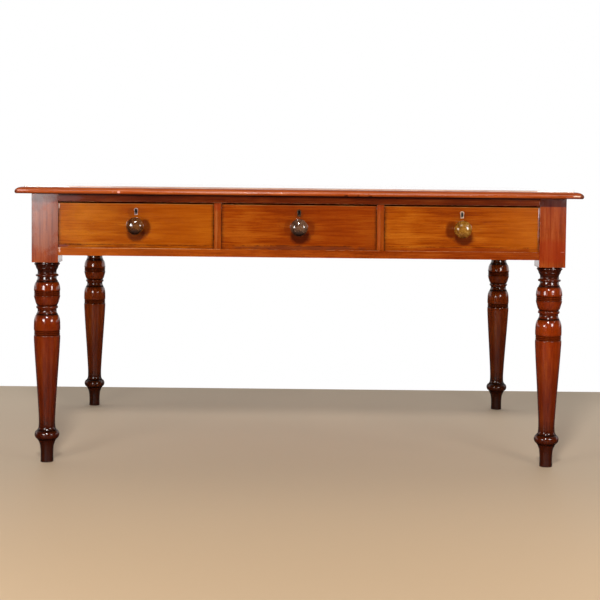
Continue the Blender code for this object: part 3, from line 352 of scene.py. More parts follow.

# Marks on upright faces, of wear and dirt and of painted shadow, sheen and highlight: centre and reach
# across and up, tint, strength and raggedness, at one depth
FACE_Y = -0.485
LEG_FACE_Y = -0.486
FACE_REACH = 0.02
FACE_SPOTS = {
    "left_drawer_front": (
        (-0.6525, 0.7085, 0.003, 0.009, PALE, 0.85, 1.0),
        # Painted sheen on the front's upper left
        (-0.56, 0.69, 0.085, 0.03, (200, 116, 20), 0.3, 0.3),
        (-0.62, 0.604, 0.035, 0.0017, DIRT_AND_SHADE, 0.75, 1.2),
        (-0.445, 0.6034, 0.21, 0.0014, DIRT_AND_SHADE, 0.55, 2.0),
        (-0.642, 0.5995, 0.022, 0.0034, (120, 66, 66), 0.75, 1.0),
        (-0.455, 0.6915, 0.012, 0.016, (120, 50, 8), 0.4, 0.6),
        # Painted shadows of the knob, below it and to its right
        (-0.44, 0.631, 0.029, 0.02, (96, 34, 8), 0.68, 0.3),
        (-0.419, 0.652, 0.018, 0.026, (84, 26, 4), 0.72, 0.4),
    ),
    "middle_drawer_front": (
        (0, 0.6, 0.215, 0.0062, (104, 50, 30), 0.55, 1.0),
        (0.0, 0.605, 0.2, 0.0013, DIRT_AND_SHADE, 0.5, 2.0),
        (0.0, 0.689, 0.013, 0.016, (100, 36, 6), 0.4, 0.6),
        # Painted shadows of the knob, below it and to both sides
        (0.003, 0.629, 0.032, 0.022, (70, 16, 4), 0.78, 0.3),
        (0.028, 0.654, 0.018, 0.024, (112, 34, 4), 0.5, 0.4),
        (-0.029, 0.654, 0.014, 0.022, (112, 34, 4), 0.4, 0.4),
    ),
    "right_drawer_front": (
        (0.6508, 0.702, 0.0018, 0.016, (214, 186, 186), 0.85, 1.2),
        (0.6505, 0.655, 0.0018, 0.045, LILAC, 0.2, 1.8),
        (0.443, 0.599, 0.21, 0.0075, (140, 46, 8), 0.55, 1.0),
        (0.443, 0.606, 0.2, 0.0013, DIRT_AND_SHADE, 0.45, 2.0),
        (0.443, 0.689, 0.013, 0.016, (120, 52, 10), 0.35, 0.6),
        # Painted shadows of the knob, below it and to its left
        (0.448, 0.629, 0.032, 0.022, (92, 26, 6), 0.75, 0.3),
        (0.414, 0.652, 0.018, 0.027, (96, 28, 4), 0.72, 0.3),
    ),
    "front_bottom_rail": (
        (-0.651, 0.5935, 0.0045, 0.0024, PALE, 0.9, 0.8),
        (-0.65, 0.586, 0.0024, 0.005, PALE, 0.7, 1.2),
        (-0.42, 0.5938, 0.21, 0.001, (232, 170, 110), 0.55, 1.2),
        (0.42, 0.5938, 0.21, 0.0009, (214, 140, 90), 0.35, 1.6),
    ),
    "front_top_rail": (
        # Painted sheen on the rail's left end
        (-0.63, 0.7305, 0.046, 0.012, (132, 84, 84), 0.6, 0.6),
        (0.6525, 0.7275, 0.0012, 0.0065, (150, 96, 88), 0.7, 0.4),
    ),
    "left_divider": (
        # Painted highlight down the divider
        (-0.2245, 0.655, 0.004, 0.075, (200, 116, 56), 0.45, 0.8),
        (-0.221, 0.71, 0.0095, 0.013, (158, 46, 18), 0.45, 0.6),
    ),
    "right_divider": (
        # Painted highlight down the divider
        (0.218, 0.655, 0.004, 0.075, (190, 100, 50), 0.4, 0.8),
        (0.221, 0.712, 0.0095, 0.01, (146, 42, 18), 0.4, 0.6),
    ),
    "front_left_leg": (
        # Painted shade under the top, a painted dark reflection down the left edge, and painted sheen over
        # the block
        (-0.69, 0.73, 0.04, 0.022, (96, 66, 76), 0.45, 0.7),
        (-0.724, 0.655, 0.003, 0.095, (86, 44, 36), 0.55, 0.9),
        (-0.69, 0.66, 0.06, 0.085, (164, 128, 112), 0.28, 1.6),
        (-0.711, 0.716, 0.014, 0.028, (78, 50, 54), 0.45, 1.2),
        (-0.7035, 0.66, 0.0034, 0.08, (112, 58, 46), 0.5, 1.3),
        (-0.685, 0.69, 0.003, 0.055, (108, 56, 48), 0.5, 1.3),
        (-0.67, 0.65, 0.0026, 0.07, (116, 60, 44), 0.45, 1.3),
    ),
    "front_right_leg": (
        (0.7175, 0.5955, 0.0075, 0.001, (226, 160, 140), 0.85, 0.5),
        (0.69, 0.596, 0.07, 0.038, (150, 36, 2), 0.5, 0.4),
        (0.6615, 0.7275, 0.0008, 0.0065, (176, 120, 116), 0.7, 0.4),
    ),
}


def linear(colour):
    """An sRGB colour of 0 to 255 as linear RGBA."""
    levels = [level / 255 for level in colour]
    return (*[((v + 0.055) / 1.055) ** 2.4 if v > 0.04 else v / 12.92 for v in levels], 1)


class Graph:
    """The nodes of one material, lamp or world, made in the order that they are used."""

    def __init__(self, tree):
        self.tree = tree

    def link(self, value, socket):
        if isinstance(value, bpy.types.NodeSocket):
            self.tree.links.new(value, socket)
        else:
            socket.default_value = value

    def node(self, kind, inputs=(), output=0, **settings):
        made = self.tree.nodes.new("ShaderNode" + kind)
        for key, value in settings.items():
            setattr(made, key, value)
        for key, value in dict(inputs).items():
            self.link(value, made.inputs[key])
        return made.outputs[output]

    def outputs(self, kind):
        return self.node(kind).node.outputs

    def math(self, operation, *values):
        return self.node("Math", enumerate(values), operation=operation)

    def times(self, first, second):
        return self.math("MULTIPLY", first, second)

    def minus(self, first, second):
        return self.math("SUBTRACT", first, second)

    def vector(self, operation, *values):
        return self.node("VectorMath", enumerate(values), operation=operation)

    def length(self, vector):
        return self.node("VectorMath", {0: vector}, "Value", operation="LENGTH")

    def object_place(self):
        return self.node("TexCoord", output="Object")

    def attribute(self, name):
        return self.node("Attribute", output="Fac", attribute_name=name)

    def parts(self, vector):
        made = self.tree.nodes.new("ShaderNodeSeparateXYZ")
        self.link(vector, made.inputs[0])
        return list(made.outputs)

    def joined(self, x, y, z):
        return self.node("CombineXYZ", {0: x, 1: y, 2: z})

    def noise(self, vector, scale, detail, output="Fac"):
        scaled = self.vector("MULTIPLY", vector, scale)
        return self.node("TexNoise", {"Vector": scaled, "Scale": 1, "Detail": detail}, output)

    def span(self, value, low, high, to_low=0, to_high=1):
        """A smooth turn from one level to another, as a value goes from low to high."""
        inputs = {0: value, 1: low, 2: high, 3: to_low, 4: to_high}
        return self.node("MapRange", inputs, interpolation_type="SMOOTHSTEP")

    def ramp(self, value, stops):
        """The colour at a value between stops, each a position and an sRGB colour."""
        made = self.tree.nodes.new("ShaderNodeValToRGB")
        elements = made.color_ramp.elements
        while len(elements) < len(stops):
            elements.new(0.5)
        for element, (position, colour) in zip(elements, stops):
            element.position = position
            element.color = linear(colour)
        self.link(value, made.inputs[0])
        return made.outputs[0]

    def mix(self, factor, first, second, blend="MIX"):
        """A mix of two colours, each a socket, three sRGB levels or linear RGBA."""
        first, second = (
            linear(end) if isinstance(end, tuple) and len(end) == 3 else end for end in (first, second)
        )
        inputs = {0: factor, 6: first, 7: second}
        return self.node("Mix", inputs, 2, data_type="RGBA", blend_type=blend)

    def between(self, factor, first, second):
        """A mix of two numbers."""
        return self.node("Mix", {0: factor, 2: first, 3: second}, data_type="FLOAT")

    def spot(self, place, centre, reach, ragged, strength):
        """A patch round a point, with a ragged outline."""
        away = self.vector("DIVIDE", self.vector("SUBTRACT", place, centre), reach)
        uneven = self.math("ADD", *[self.noise(place, scale, detail) for scale, detail in SPOT_NOISES])
        rough = self.math("MULTIPLY_ADD", uneven, ragged, -ragged)
        return self.span(self.math("ADD", self.length(away), rough), *SPOT_FADE, strength, 0)

    def arris(self, place, low, high, reach):
        """How near a point is to an edge of a box, from 1 on the edge to 0."""
        parts = self.parts(place)
        gaps = []
        for axis in range(3):
            above = self.minus(parts[axis], low[axis])
            nearer = self.math("MINIMUM", above, self.minus(high[axis], parts[axis]))
            gaps.append(self.math("ABSOLUTE", nearer))
        small = self.math("MINIMUM", gaps[0], gaps[1])
        large = self.math("MAXIMUM", gaps[0], gaps[1])
        second = self.math("MAXIMUM", small, self.math("MINIMUM", large, gaps[2]))
        return self.span(second, 0, reach, 1, 0)

    def shine(self, paths):
        """Whether a ray comes by way of a glossy or a clear surface."""
        return self.math("MAXIMUM", paths["Is Glossy Ray"], paths["Is Transmission Ray"])


def new_object(name, data):
    """An object in the scene."""
    made = bpy.data.objects.new(name, data)
    bpy.context.scene.collection.objects.link(made)
    return made


def new_material(name):
    """A material with its graph and its shader."""
    material = bpy.data.materials.new(name)
    material.use_nodes = True
    return material, Graph(material.node_tree), material.node_tree.nodes["Principled BSDF"]


def in_tree(graph, place, along, heart, boards):
    """A point's place in its tree, with the grain's waver, and the number of its glued board."""
    order = {"X": (0, 1, 2), "Y": (1, 0, 2), "Z": (2, 0, 1)}[along]
    axes = graph.parts(place)
    turned = graph.joined(*[axes[index] for index in order])
    from_heart = graph.vector("SUBTRACT", turned, [heart[index] for index in order])
    board = None
    if boards:
        first, width = boards
        past = graph.minus(axes[order[1]], first)
        board = graph.math("FLOOR", graph.math("DIVIDE", past, width))
        shift = graph.joined(*[graph.times(board, step) for step in BOARD_SHIFT], 0)
        from_heart = graph.vector("ADD", from_heart, shift)
    swirl = graph.noise(from_heart, WAVER_SCALE, 2.0, "Color")
    waver = graph.vector("MULTIPLY", graph.vector("SUBTRACT", swirl, (0.5, 0.5, 0.5)), WAVER)
    return graph.vector("ADD", from_heart, waver), board


def figured(graph, grain, board, figure):
    """How light the wood is at a place in its tree, and the streaks in it."""
    across = graph.vector("MULTIPLY", grain, RING_SHAPE)
    rings = graph.math("SINE", graph.times(graph.length(across), 2 * math.pi * RINGS_PER_METRE))
    tone = graph.math("MULTIPLY_ADD", rings, RING_CONTRAST * figure, 0.5)
    if board is not None:
        chance = graph.node("TexWhiteNoise", {"W": board}, noise_dimensions="1D")
        change = graph.times(graph.minus(chance, 0.5), BOARD_CONTRAST)
        tone = graph.math("MULTIPLY_ADD", graph.math("MINIMUM", board, 1), change, tone)
    layers = []
    for scale, detail, weight in (STREAKS, RIBBONS, CLOUDS if board is None else LONG_CLOUDS):
        layers.append(graph.noise(grain, scale, detail))
        tone = graph.math("MULTIPLY_ADD", graph.minus(layers[-1], 0.5), weight * figure, tone)
    return tone, layers[0]


def patchy(graph, place):
    """Polish that is a little thinner in patches."""
    return graph.span(graph.noise(place, PATCH_SCALE, 3.0), *PATCH_SPAN)


def wood(
    name, along, tones, heart, polished=True, marks=(), figure=1.0, raw=None, worn=patchy, gloss=0.05,
    coat_ior=COAT_IOR, boards=None,
):
    """Wood whose grain runs along an axis, cut from a tree whose heart passes through a point.

    Each mark gives the marked colour, from the graph, the place and the colour. Raw and worn give the shares
    of bare wood and of polish left, from the graph and the place. Boards is where the first of several glued
    boards begins, and their width.
    """
    material, graph, shader = new_material(name)
    place = graph.object_place()
    grain, board = in_tree(graph, place, along, heart, boards)
    tone, streaks = figured(graph, grain, board, figure)
    roughnesses, bump_strength, specular = POLISHED if polished else UNPOLISHED
    colour = graph.ramp(tone, list(zip(TONE_STOPS, tones)))
    pores = graph.span(graph.noise(grain, PORE_SCALE, 1.0), *PORE_SPAN)
    colour = graph.mix(graph.times(pores, PORE_DARKNESS), colour, DIRT_AND_SHADE)
    roughness = graph.span(streaks, *ROUGHNESS_TURN, *roughnesses)
    cover = 1 if polished else 0
    if raw:
        share = raw(graph, place)
        colour = graph.mix(share, colour, graph.mix(RAW_SHARE, colour, RAW_TONE, "SCREEN"))
        roughness = graph.math("MULTIPLY_ADD", share, RAW_ROUGHNESS, roughness)
        cover = graph.minus(1, share)
    for mark in marks:
        colour = mark(graph, place, colour)

    graph.link(colour, shader.inputs["Base Color"])
    graph.link(roughness, shader.inputs["Roughness"])
    height = graph.math("MULTIPLY_ADD", streaks, STREAK_HEIGHT, graph.times(pores, -1))
    bump = {"Height": height, "Strength": bump_strength, "Distance": 0.0004}
    graph.link(graph.node("Bump", bump), shader.inputs["Normal"])
    shader.inputs["Specular IOR Level"].default_value = specular
    if polished:
        kept = graph.math("MULTIPLY_ADD", graph.attribute("line"), -LINE_BARENESS, 1)
        cover = graph.times(graph.times(cover, kept), worn(graph, place))
    graph.link(cover, shader.inputs["Coat Weight"])
    shader.inputs["Coat Roughness"].default_value = gloss
    shader.inputs["Coat IOR"].default_value = coat_ior
    return material


def metal(name, bright, dull, roughness, holes, hole_look):
    """Old metal, dull in patches, and black in and round a keyhole, as painted shade."""
    material, graph, shader = new_material(name)
    place = graph.object_place()
    patches = graph.noise(place, *METAL_PATCHES)
    scratches = graph.noise(place, *METAL_SCRATCHES)
    colour = graph.mix(graph.span(patches, *METAL_TURN), dull, bright)
    shine = 1.0
    reach, black, strength, ragged = hole_look
    for centre in holes:
        hole = graph.spot(place, centre, reach, ragged, strength)
        colour = graph.mix(hole, colour, black)
        shine = graph.times(graph.minus(1, hole), shine)
    graph.link(colour, shader.inputs["Base Color"])
    graph.link(shine, shader.inputs["Metallic"])
    roughness = graph.span(patches, *ROUGHNESS_TURN, roughness + DULL_ROUGHNESS, roughness)
    graph.link(roughness, shader.inputs["Roughness"])
    bump = {"Height": scratches, "Strength": 0.15, "Distance": 0.0002}
    graph.link(graph.node("Bump", bump), shader.inputs["Normal"])
    return material


def dress(name, material):
    """A material in every slot of a CAD node."""
    for slot in nodes[name].material_slots:
        slot.material = material


def soften(name, width):
    """Slightly rounded edges on a CAD node."""
    for kind, settings in SOFTENING.items():
        modifier = nodes[name].modifiers.new(kind.lower(), kind)
        for key, value in settings.items():
            setattr(modifier, key, value)
        if kind == "BEVEL":
            modifier.width = width


def smooth_run(points):
    """A centripetal Catmull-Rom curve through one run of a profile, without its first point."""
    if len(points) == 2:
        return points[1:]
    padded = [points[0] * 2 - points[1], *points, points[-1] * 2 - points[-2]]
    filled = []
    for before, start, end, after in zip(padded, padded[1:], padded[2:], padded[3:]):
        knot_1 = math.sqrt((start - before).length)
        knot_2 = knot_1 + math.sqrt((end - start).length)
        knot_3 = knot_2 + math.sqrt((after - end).length)
        for step in range(1, CURVE_STEPS + 1):
            along = step / CURVE_STEPS
            knot = knot_1 + (knot_2 - knot_1) * along
            middle = start.lerp(end, along)
            low = before.lerp(start, knot / knot_1).lerp(middle, knot / knot_2)
            rest = end.lerp(after, (knot - knot_2) / (knot_3 - knot_2))
            high = middle.lerp(rest, (knot - knot_1) / (knot_3 - knot_1))
            filled.append(low.lerp(high, along))
    return filled


def refined(profile):
    """The profile with its curves filled in between its sharp corners."""
    profile = [Vector(point) for point in profile]
    smooth = [profile[0]]
    run = [profile[0]]
    for index, point in enumerate(profile[1:], 1):
        run.append(point)
        last = index == len(profile) - 1
        if last or (point - profile[index - 1]).angle(profile[index + 1] - point) > SHARP_ANGLE:
            smooth += smooth_run(run)
            run = [point]
    return smooth


def is_groove(profile, index):
    """Whether a point of the profile is the bottom of a V groove."""
    if not 0 < index < len(profile) - 1:
        return False
    before, here, after = profile[index - 1 : index + 2]
    land = (before[0] + after[0]) / 2
    is_level = max(before[0], after[0]) - land < land - here[0] < INCISION_DEPTH
    return after[1] - before[1] < GROOVE_SPAN and here[0] < min(before[0], after[0]) and is_level


def incised(profile):
    """The profile with each V groove narrowed to a line between flat lands."""
    points = []
    for index, (radius, height) in enumerate(profile):
        if is_groove(profile, index):
            land = profile[index - 1][0] - BAND_RECESS
            points.append((land, height - INCISION_HALF_WIDTH))
            points.append((land - INCISION_DEPTH, height))
            points.append((land, height + INCISION_HALF_WIDTH))
        elif not (is_groove(profile, index - 1) and is_groove(profile, index + 1)):
            points.append((radius, height))
    return points


def rounded(profile):
    """The profile with its sharp ridges turned as beads, and its collar rounded."""
    points = [profile[0]]
    for before, here, after in zip(profile, profile[1:], profile[2:]):
        root = max(before[0], after[0])
        if here[0] - root > RIDGE_RISE and after[1] - before[1] < RIDGE_SPAN:
            for step in range(1 - RIDGE_STEPS, RIDGE_STEPS):
                along = step / RIDGE_STEPS
                end = before if step < 0 else after
                bulge = math.sqrt(1 - along**2)
                radius = end[0] + (here[0] - end[0]) * bulge
                points.append((radius, here[1] + abs(along) * (end[1] - here[1])))
        else:
            points.append(here)
    radius, low = points.pop()
    points += [(radius + COLLAR_ROUND * out, low + COLLAR_ROUND * up) for out, up in COLLAR_SECTION]
    points.append((radius - COLLAR_ROUND, profile[-1][1]))
    return points


def filleted(profile):
    """The profile with small square steps where its beads meet its coves, and a small bead at its waist."""
    points = []
    waist, proud, bead = WAIST_BEAD
    for index, (radius, height) in enumerate(profile):
        level = min(FILLETS, key=lambda fillet: abs(fillet - height))
        if abs(height - level) < FILLET_STEP:
            rise, tall = FILLETS[level]
            widening = FILLET_STEP if profile[index + 1][0] > radius else -FILLET_STEP
            low, high = height - tall / 2, height + tall / 2
            points += [(radius + rise - widening, low), (radius + rise, low)]
            points += [(radius + rise, high), (radius + rise + widening, high)]
        elif abs(height - waist) < FILLET_STEP:
            points.append((radius, height - bead / 2))
            points += [(radius + proud, height), (radius + proud, height + bead / 2)]
        else:
            points.append((radius, height))
    return points


def fuller(profile):
    """The profile a little slimmer or fuller over some spans of its height."""
    points = []
    for radius, height in profile:
        for low, high, change in FULLNESS:
            if low < height < high:
                radius += change * math.sin(math.pi * (height - low) / (high - low))
        points.append((radius, height))
    return points


def depth_below(profile, point, reach):
    """How far a point of a profile lies below the lower of the two crests within reach of it."""
    radius, height = point
    below = max(r for r, h in profile if height - reach <= h <= height)
    above = max(r for r, h in profile if height <= h <= height + reach)
    return min(below, above) - radius


def hollows(profile):
    """How deep each point of a profile is in a hollow or in stain, and how near a cut line, from 0 to 1."""
    lines = [point[1] for point in profile if depth_below(profile, point, LINE_REACH) > LINE_DEPTH]
    shares = []
    for point in profile:
        share = min(1, depth_below(profile, point, HOLLOW_REACH) / HOLLOW_DEPTH)
        near = max([math.exp(-(((point[1] - line) / LINE_SPREAD) ** 2)) for line in lines], default=0)
        shares.append((1 if point[1] in lines else max(share, LINE_STAIN * near), near))
    return shares


def skin(bm, rings):
    """Faces between each ring of a bmesh and the next, and over both ends."""
    for lower, upper in zip(rings, rings[1:]):
        for index in range(len(lower)):
            bm.faces.new((lower[index - 1], lower[index], upper[index], upper[index - 1]))
    bm.faces.new(rings[0][::-1])
    bm.faces.new(rings[-1])


def lathe(profile, sides, placing):
    """A smooth turning of a (radius, height) profile about Z, with its hollows and lines as attributes."""
    bm = bmesh.new()
    layers = [bm.verts.layers.float.new(name) for name in ("hollow", "line")]
    rings = []
    for (radius, height), shares in zip(profile, hollows(profile)):
        ring = []
        for side in range(sides):
            turn = 2 * math.pi * side / sides
            vert = bm.verts.new((radius * math.cos(turn), radius * math.sin(turn), height))
            for layer, share in zip(layers, shares):
                vert[layer] = share
            ring.append(vert)
        rings.append(ring)
    skin(bm, rings)
    bmesh.ops.transform(bm, matrix=placing, verts=bm.verts)
    return bm


def piece_from(name, bm, material, body, slot, *replaced, flat_area=math.inf):
    """A piece of the scene from a bmesh, smooth but for its larger faces, in place of CAD nodes."""
    bmesh.ops.recalc_face_normals(bm, faces=bm.faces)
    mesh = bpy.data.meshes.new(name)
    bm.to_mesh(mesh)
    bm.free()
    mesh.set_sharp_from_angle(angle=SHARP_ANGLE)
    for polygon in mesh.polygons:
        polygon.use_smooth = polygon.area < flat_area
    mesh.materials.append(material)
    piece = new_object(name, mesh)
    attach(piece, body)
    if replaced:
        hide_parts(*replaced)


def leg_profile(name):
    """The (radius, height) profile of a leg's turning, its axis, and the level of its block's underside."""
    low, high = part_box(name)
    axis = (low + high) / 2
    half = (high.x - low.x) / 2
    points = [vert.co for vert in nodes[name].data.vertices]
    block_low = min(point.z for point in points if abs(point.x - axis.x) > half - WELD_DISTANCE)
    radii = {}
    for point in points:
        radius = math.hypot(point.x - axis.x, point.y - axis.y)
        if point.z < block_low + WELD_DISTANCE and radius < half:
            level = round(point.z, 5)
            radii[level] = max(radius, radii.get(level, 0))
    return [(radius, level) for level, radius in sorted(radii.items())], axis, block_low


def build_leg(name, material):
    """A leg with its square block softened and its turning smooth, in place of the CAD leg."""
    profile, axis, block_low = leg_profile(name)
    low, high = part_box(name)
    profile = fuller(refined(filleted(rounded(incised(profile)))))
    bm = lathe(profile, LEG_SIDES, Matrix.Translation((axis.x, axis.y, 0)))
    corner = Vector((low.x, low.y, block_low))
    placing = Matrix.Translation((high + corner) / 2) @ Matrix.Diagonal((high - corner).to_4d())
    cube = bmesh.ops.create_cube(bm, size=1, matrix=placing)
    edges = list({edge for vert in cube["verts"] for edge in vert.link_edges})
    bmesh.ops.bevel(bm, geom=edges, offset=BLOCK_EDGE, segments=3, profile=0.5, affect="EDGES")
    piece_from(f"{name}_turned", bm, material, "carcass", "mahogany", name, flat_area=BLOCK_FACE_AREA)


def knob_profile(name):
    """The (radius, distance forward) profile of a knob from its seat on, its axis, and its seat's place."""
    low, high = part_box(name)
    axis = (low + high) / 2
    radii = {}
    for vert in nodes[name].data.vertices:
        level = round(high.y - vert.co.y, 5)
        radius = math.hypot(vert.co.x - axis.x, vert.co.z - axis.z)
        radii.setdefault(level, []).append(radius)
    profile = []
    for level, found in sorted(radii.items()):
        if min(found) < max(found) - KNOB_STEP:
            profile.append((min(found), level))
        profile.append((max(found), level))
    return profile, axis, high.y


def build_knob(drawer, material):
    """A smooth knob in place of the CAD one."""
    name = f"{drawer}_drawer_knob"
    profile, axis, back = knob_profile(name)
    placing = Matrix.Translation((axis.x, back, axis.z)) @ Matrix.Rotation(math.pi / 2, 4, "X")
    bm = lathe(refined(profile), KNOB_SIDES, placing)
    piece_from(f"{name}_turned", bm, material, f"{drawer}_drawer", "knob_wood", name)


def build_top(material):
    """The top with a smooth moulding and slightly rounded corners, in place of the CAD board."""
    low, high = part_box("table_top")
    insets = {}
    for vert in nodes["table_top"].data.vertices:
        level = round(vert.co.z, 5)
        insets.setdefault(level, set()).add(round(high.x - abs(vert.co.x), 5))
    section = []
    for level, found in sorted(insets.items()):
        section += [(inset, level) for inset in sorted(found)]
    bm = bmesh.new()
    rings = []
    for inset, level in refined(section):
        half = Vector((high.x, high.y)) - Vector((1, 1)) * (max(0, inset) + TOP_CORNER_RADIUS)
        ring = []
        for corner, (side_x, side_y) in enumerate(((1, 1), (-1, 1), (-1, -1), (1, -1))):
            for step in range(TOP_CORNER_STEPS + 1):
                turn = math.pi / 2 * (corner + step / TOP_CORNER_STEPS)
                x = side_x * half.x + TOP_CORNER_RADIUS * math.cos(turn)
                y = side_y * half.y + TOP_CORNER_RADIUS * math.sin(turn)
                ring.append(bm.verts.new((x, y, level)))
        rings.append(ring)
    skin(bm, rings)
    piece_from("moulded_top", bm, material, "carcass", "top_mahogany", "table_top")


def half_screw(bm, middle, half):
    """Half of a screw's head, on one side of its slot."""
    turning = Matrix.Rotation(SCREW_TURN + math.pi * half, 3, "Y")
    rings = []
    for radius, rise in SCREW_PROFILE:
        ring = []
        for step in range(SCREW_STEPS + 1):
            turn = math.pi * step / SCREW_STEPS
            place = Vector((radius * math.cos(turn), 0, radius * math.sin(turn) + SCREW_SLOT / 2))
            ring.append(bm.verts.new(turning @ place + Vector((middle.x, middle.y + rise, middle.z))))
        rings.append(ring)
    skin(bm, rings)


def build_screws(drawer, material):
    """Four slotted screw heads, which stand slightly proud of a lock's plate."""
    low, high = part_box(f"{drawer}_drawer_lock_case")
    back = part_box(f"{drawer}_drawer_front")[1].y
    bm = bmesh.new()
    for x in (low.x + SCREW_INSET, high.x - SCREW_INSET):
        for z in (low.z + SCREW_INSET, high.z - SCREW_INSET):
            for half in (0, 1):
                half_screw(bm, Vector((x, back, z)), half)
    piece_from(f"{drawer}_lock_screws", bm, material, f"{drawer}_drawer", "steel")


def middle_of(name, way=(0, 0, 0)):
    """The middle of a CAD node's box, or a point some way from it."""
    low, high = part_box(name)
    return (low + high) / 2 + Vector(way)


def worn_edges(low, high, strength):
    """A mark that lightens the edges of a box here and there."""

    def mark(graph, place, colour):
        broken = graph.span(graph.noise(place, EDGE_NOISE, 3.0), *EDGE_BREAKS, 0, strength)
        share = graph.times(graph.arris(place, low, high, EDGE_REACH), broken)
        return graph.mix(share, colour, WORN)

    return mark


def front_marks(name):
    """A mark for a drawer front: dark ends, a dirty foot and a pale upper edge, worn and with a painted
    highlight.
    """
    low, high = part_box(name)

    def mark(graph, place, colour):
        x, _, z = graph.parts(place)
        streaky = graph.noise(place, FRONT_NOISE, 3.0)
        ends = graph.math("MINIMUM", graph.minus(x, low.x), graph.minus(high.x, x))
        gaps = (ends, graph.minus(z, low.z), graph.minus(high.z, z))
        for gap, (near, streaks, tint) in zip(gaps, FRONT_BANDS):
            share = graph.times(graph.span(gap, *near), graph.span(streaky, *streaks))
            colour = graph.mix(share, colour, tint)
        return colour

    return mark


def share_along(axis, start, end, first, last):
    """A share that turns from one value to another over a span along an axis."""
    return lambda graph, place: graph.span(graph.parts(place)[axis], start, end, first, last)


def span_mark(axis, start, end, tint, last, first=0):
    """A mark whose strength turns in the same way."""
    share = share_along(axis, start, end, first, last)
    return lambda graph, place, colour: graph.mix(share(graph, place), colour, tint)


def darker_above(level, reach, tint, strength):
    """A mark for painted shadow above a level, under an overhang."""
    return span_mark(2, level - reach, level, tint, strength)


def spot_mark(centre, reach, tint, strength, ragged):
    """A mark that tints a patch round a point."""

    def mark(graph, place, colour):
        return graph.mix(graph.spot(place, centre, reach, ragged, strength), colour, tint)

    return mark


def spot_marks(name):
    """The marks that the photograph shows at single places of an upright piece."""
    y = LEG_FACE_Y if name.endswith("_leg") else FACE_Y
    marks = []
    for x, z, wide, tall, *look in FACE_SPOTS.get(name, ()):
        marks.append(spot_mark((x, y, z), (wide, FACE_REACH, tall), *look))
    return marks


def hollow_mark(graph, place, colour):
    """A mark that darkens the hollows of a turning: dark polish and dirt, and painted shade."""
    return graph.mix(graph.times(graph.attribute("hollow"), HOLLOW_DARKNESS), colour, DIRT_AND_SHADE)


def leg_stain(name):
    """A mark for the stain of a leg, darker and redder on the turning than on the block, darker towards the
    foot, and with painted shade just under the block.
    """
    shade, block_shade = LEG_SHADES[name]

    def mark(graph, place, colour):
        height = graph.parts(place)[2]
        stops = [(level / LEG_STAIN_REACH, (grey, grey, grey)) for level, grey in LEG_STAINS]
        stain = graph.ramp(graph.math("DIVIDE", height, LEG_STAIN_REACH), stops)
        tints = FRONT_STAIN_TINT if name.startswith("front") else BACK_STAIN_TINT
        turned = graph.vector("MULTIPLY", stain, [shade * tint for tint in tints])
        above = graph.math("GREATER_THAN", height, BLOCK_LEVEL)
        return graph.vector("MULTIPLY", colour, graph.mix(above, turned, (*[block_shade] * 3, 1)))

    return mark


def top_marks(graph, place, colour):
    """A mark for the top: painted shade along the underside of its moulding, and above it painted highlight
    lines and a dark line.
    """
    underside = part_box("table_top")[0].z
    height = graph.parts(place)[2]
    broken = graph.noise(place, TOP_LINE_NOISE, 3.0)
    for reach, strength in MOULDING_SHADE:
        share = graph.span(height, underside + MOULDING_SHADE_START, underside + reach, strength, 0)
        colour = graph.mix(share, colour, MOULDING_SHADE_TINT)
    for level, reach, strength, tint in TOP_LINES:
        gap = graph.math("ABSOLUTE", graph.minus(height, level))
        near = graph.span(gap, reach / 2, reach, strength, 0)
        share = graph.times(near, graph.span(broken, *TOP_LINE_BREAKS))
        colour = graph.mix(share, colour, tint)
    return colour


def behind(level):
    """Bare wood behind a level."""
    return share_along(1, level, level + RAW_LIMIT, 0, 1)


def inside(level, axis):
    """Bare wood nearer to the middle of the desk than a level."""

    def raw(graph, place):
        return graph.span(graph.math("ABSOLUTE", graph.parts(place)[axis]), level - RAW_LIMIT, level, 1, 0)

    return raw


def dress_top():
    """The top in polished boards, bare underneath, and with its moulding worn."""
    low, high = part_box("table_top")
    boards = (low.y, (high.y - low.y) / TOP_BOARDS)
    under, reach, thin = MOULDING_POLISH
    worn = share_along(2, high.z - under - reach, high.z - under, thin, 1)
    bare = share_along(2, low.z, low.z + RAW_LIMIT, 1, 0)
    heart = (*TOP_HEART, low.z - TOP_HEART_DEPTH)
    marks = [top_marks, *[spot_mark(*spot) for spot in TOP_SPOTS]]
    look = {"marks": marks, "raw": bare, "worn": worn, "gloss": 0.03, "boards": boards}
    build_top(wood("polished_top", "X", TOP_TONES, heart, **look))


def build_legs():
    """The legs, stained, with dirt and painted shade in their hollows, wear on their blocks, and painted
    shadow, shade and sheen on the front blocks.
    """
    for name in LEG_SHADES:
        low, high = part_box(name)
        corner = Vector((low.x, low.y, leg_profile(name)[2]))
        marks = [leg_stain(name), hollow_mark, worn_edges(corner, high, BLOCK_WEAR), *spot_marks(name)]
        # Painted shadow of the top's overhang on the block.
        if name in BLOCK_SHADOW:
            marks.append(darker_above(*BLOCK_SHADOW[name]))
        heart = middle_of(name, TO_LEG_HEART)
        build_leg(name, wood(f"{name}_wood", "Z", BLOCK_TONES, heart, marks=marks, figure=0.85, gloss=0.10))


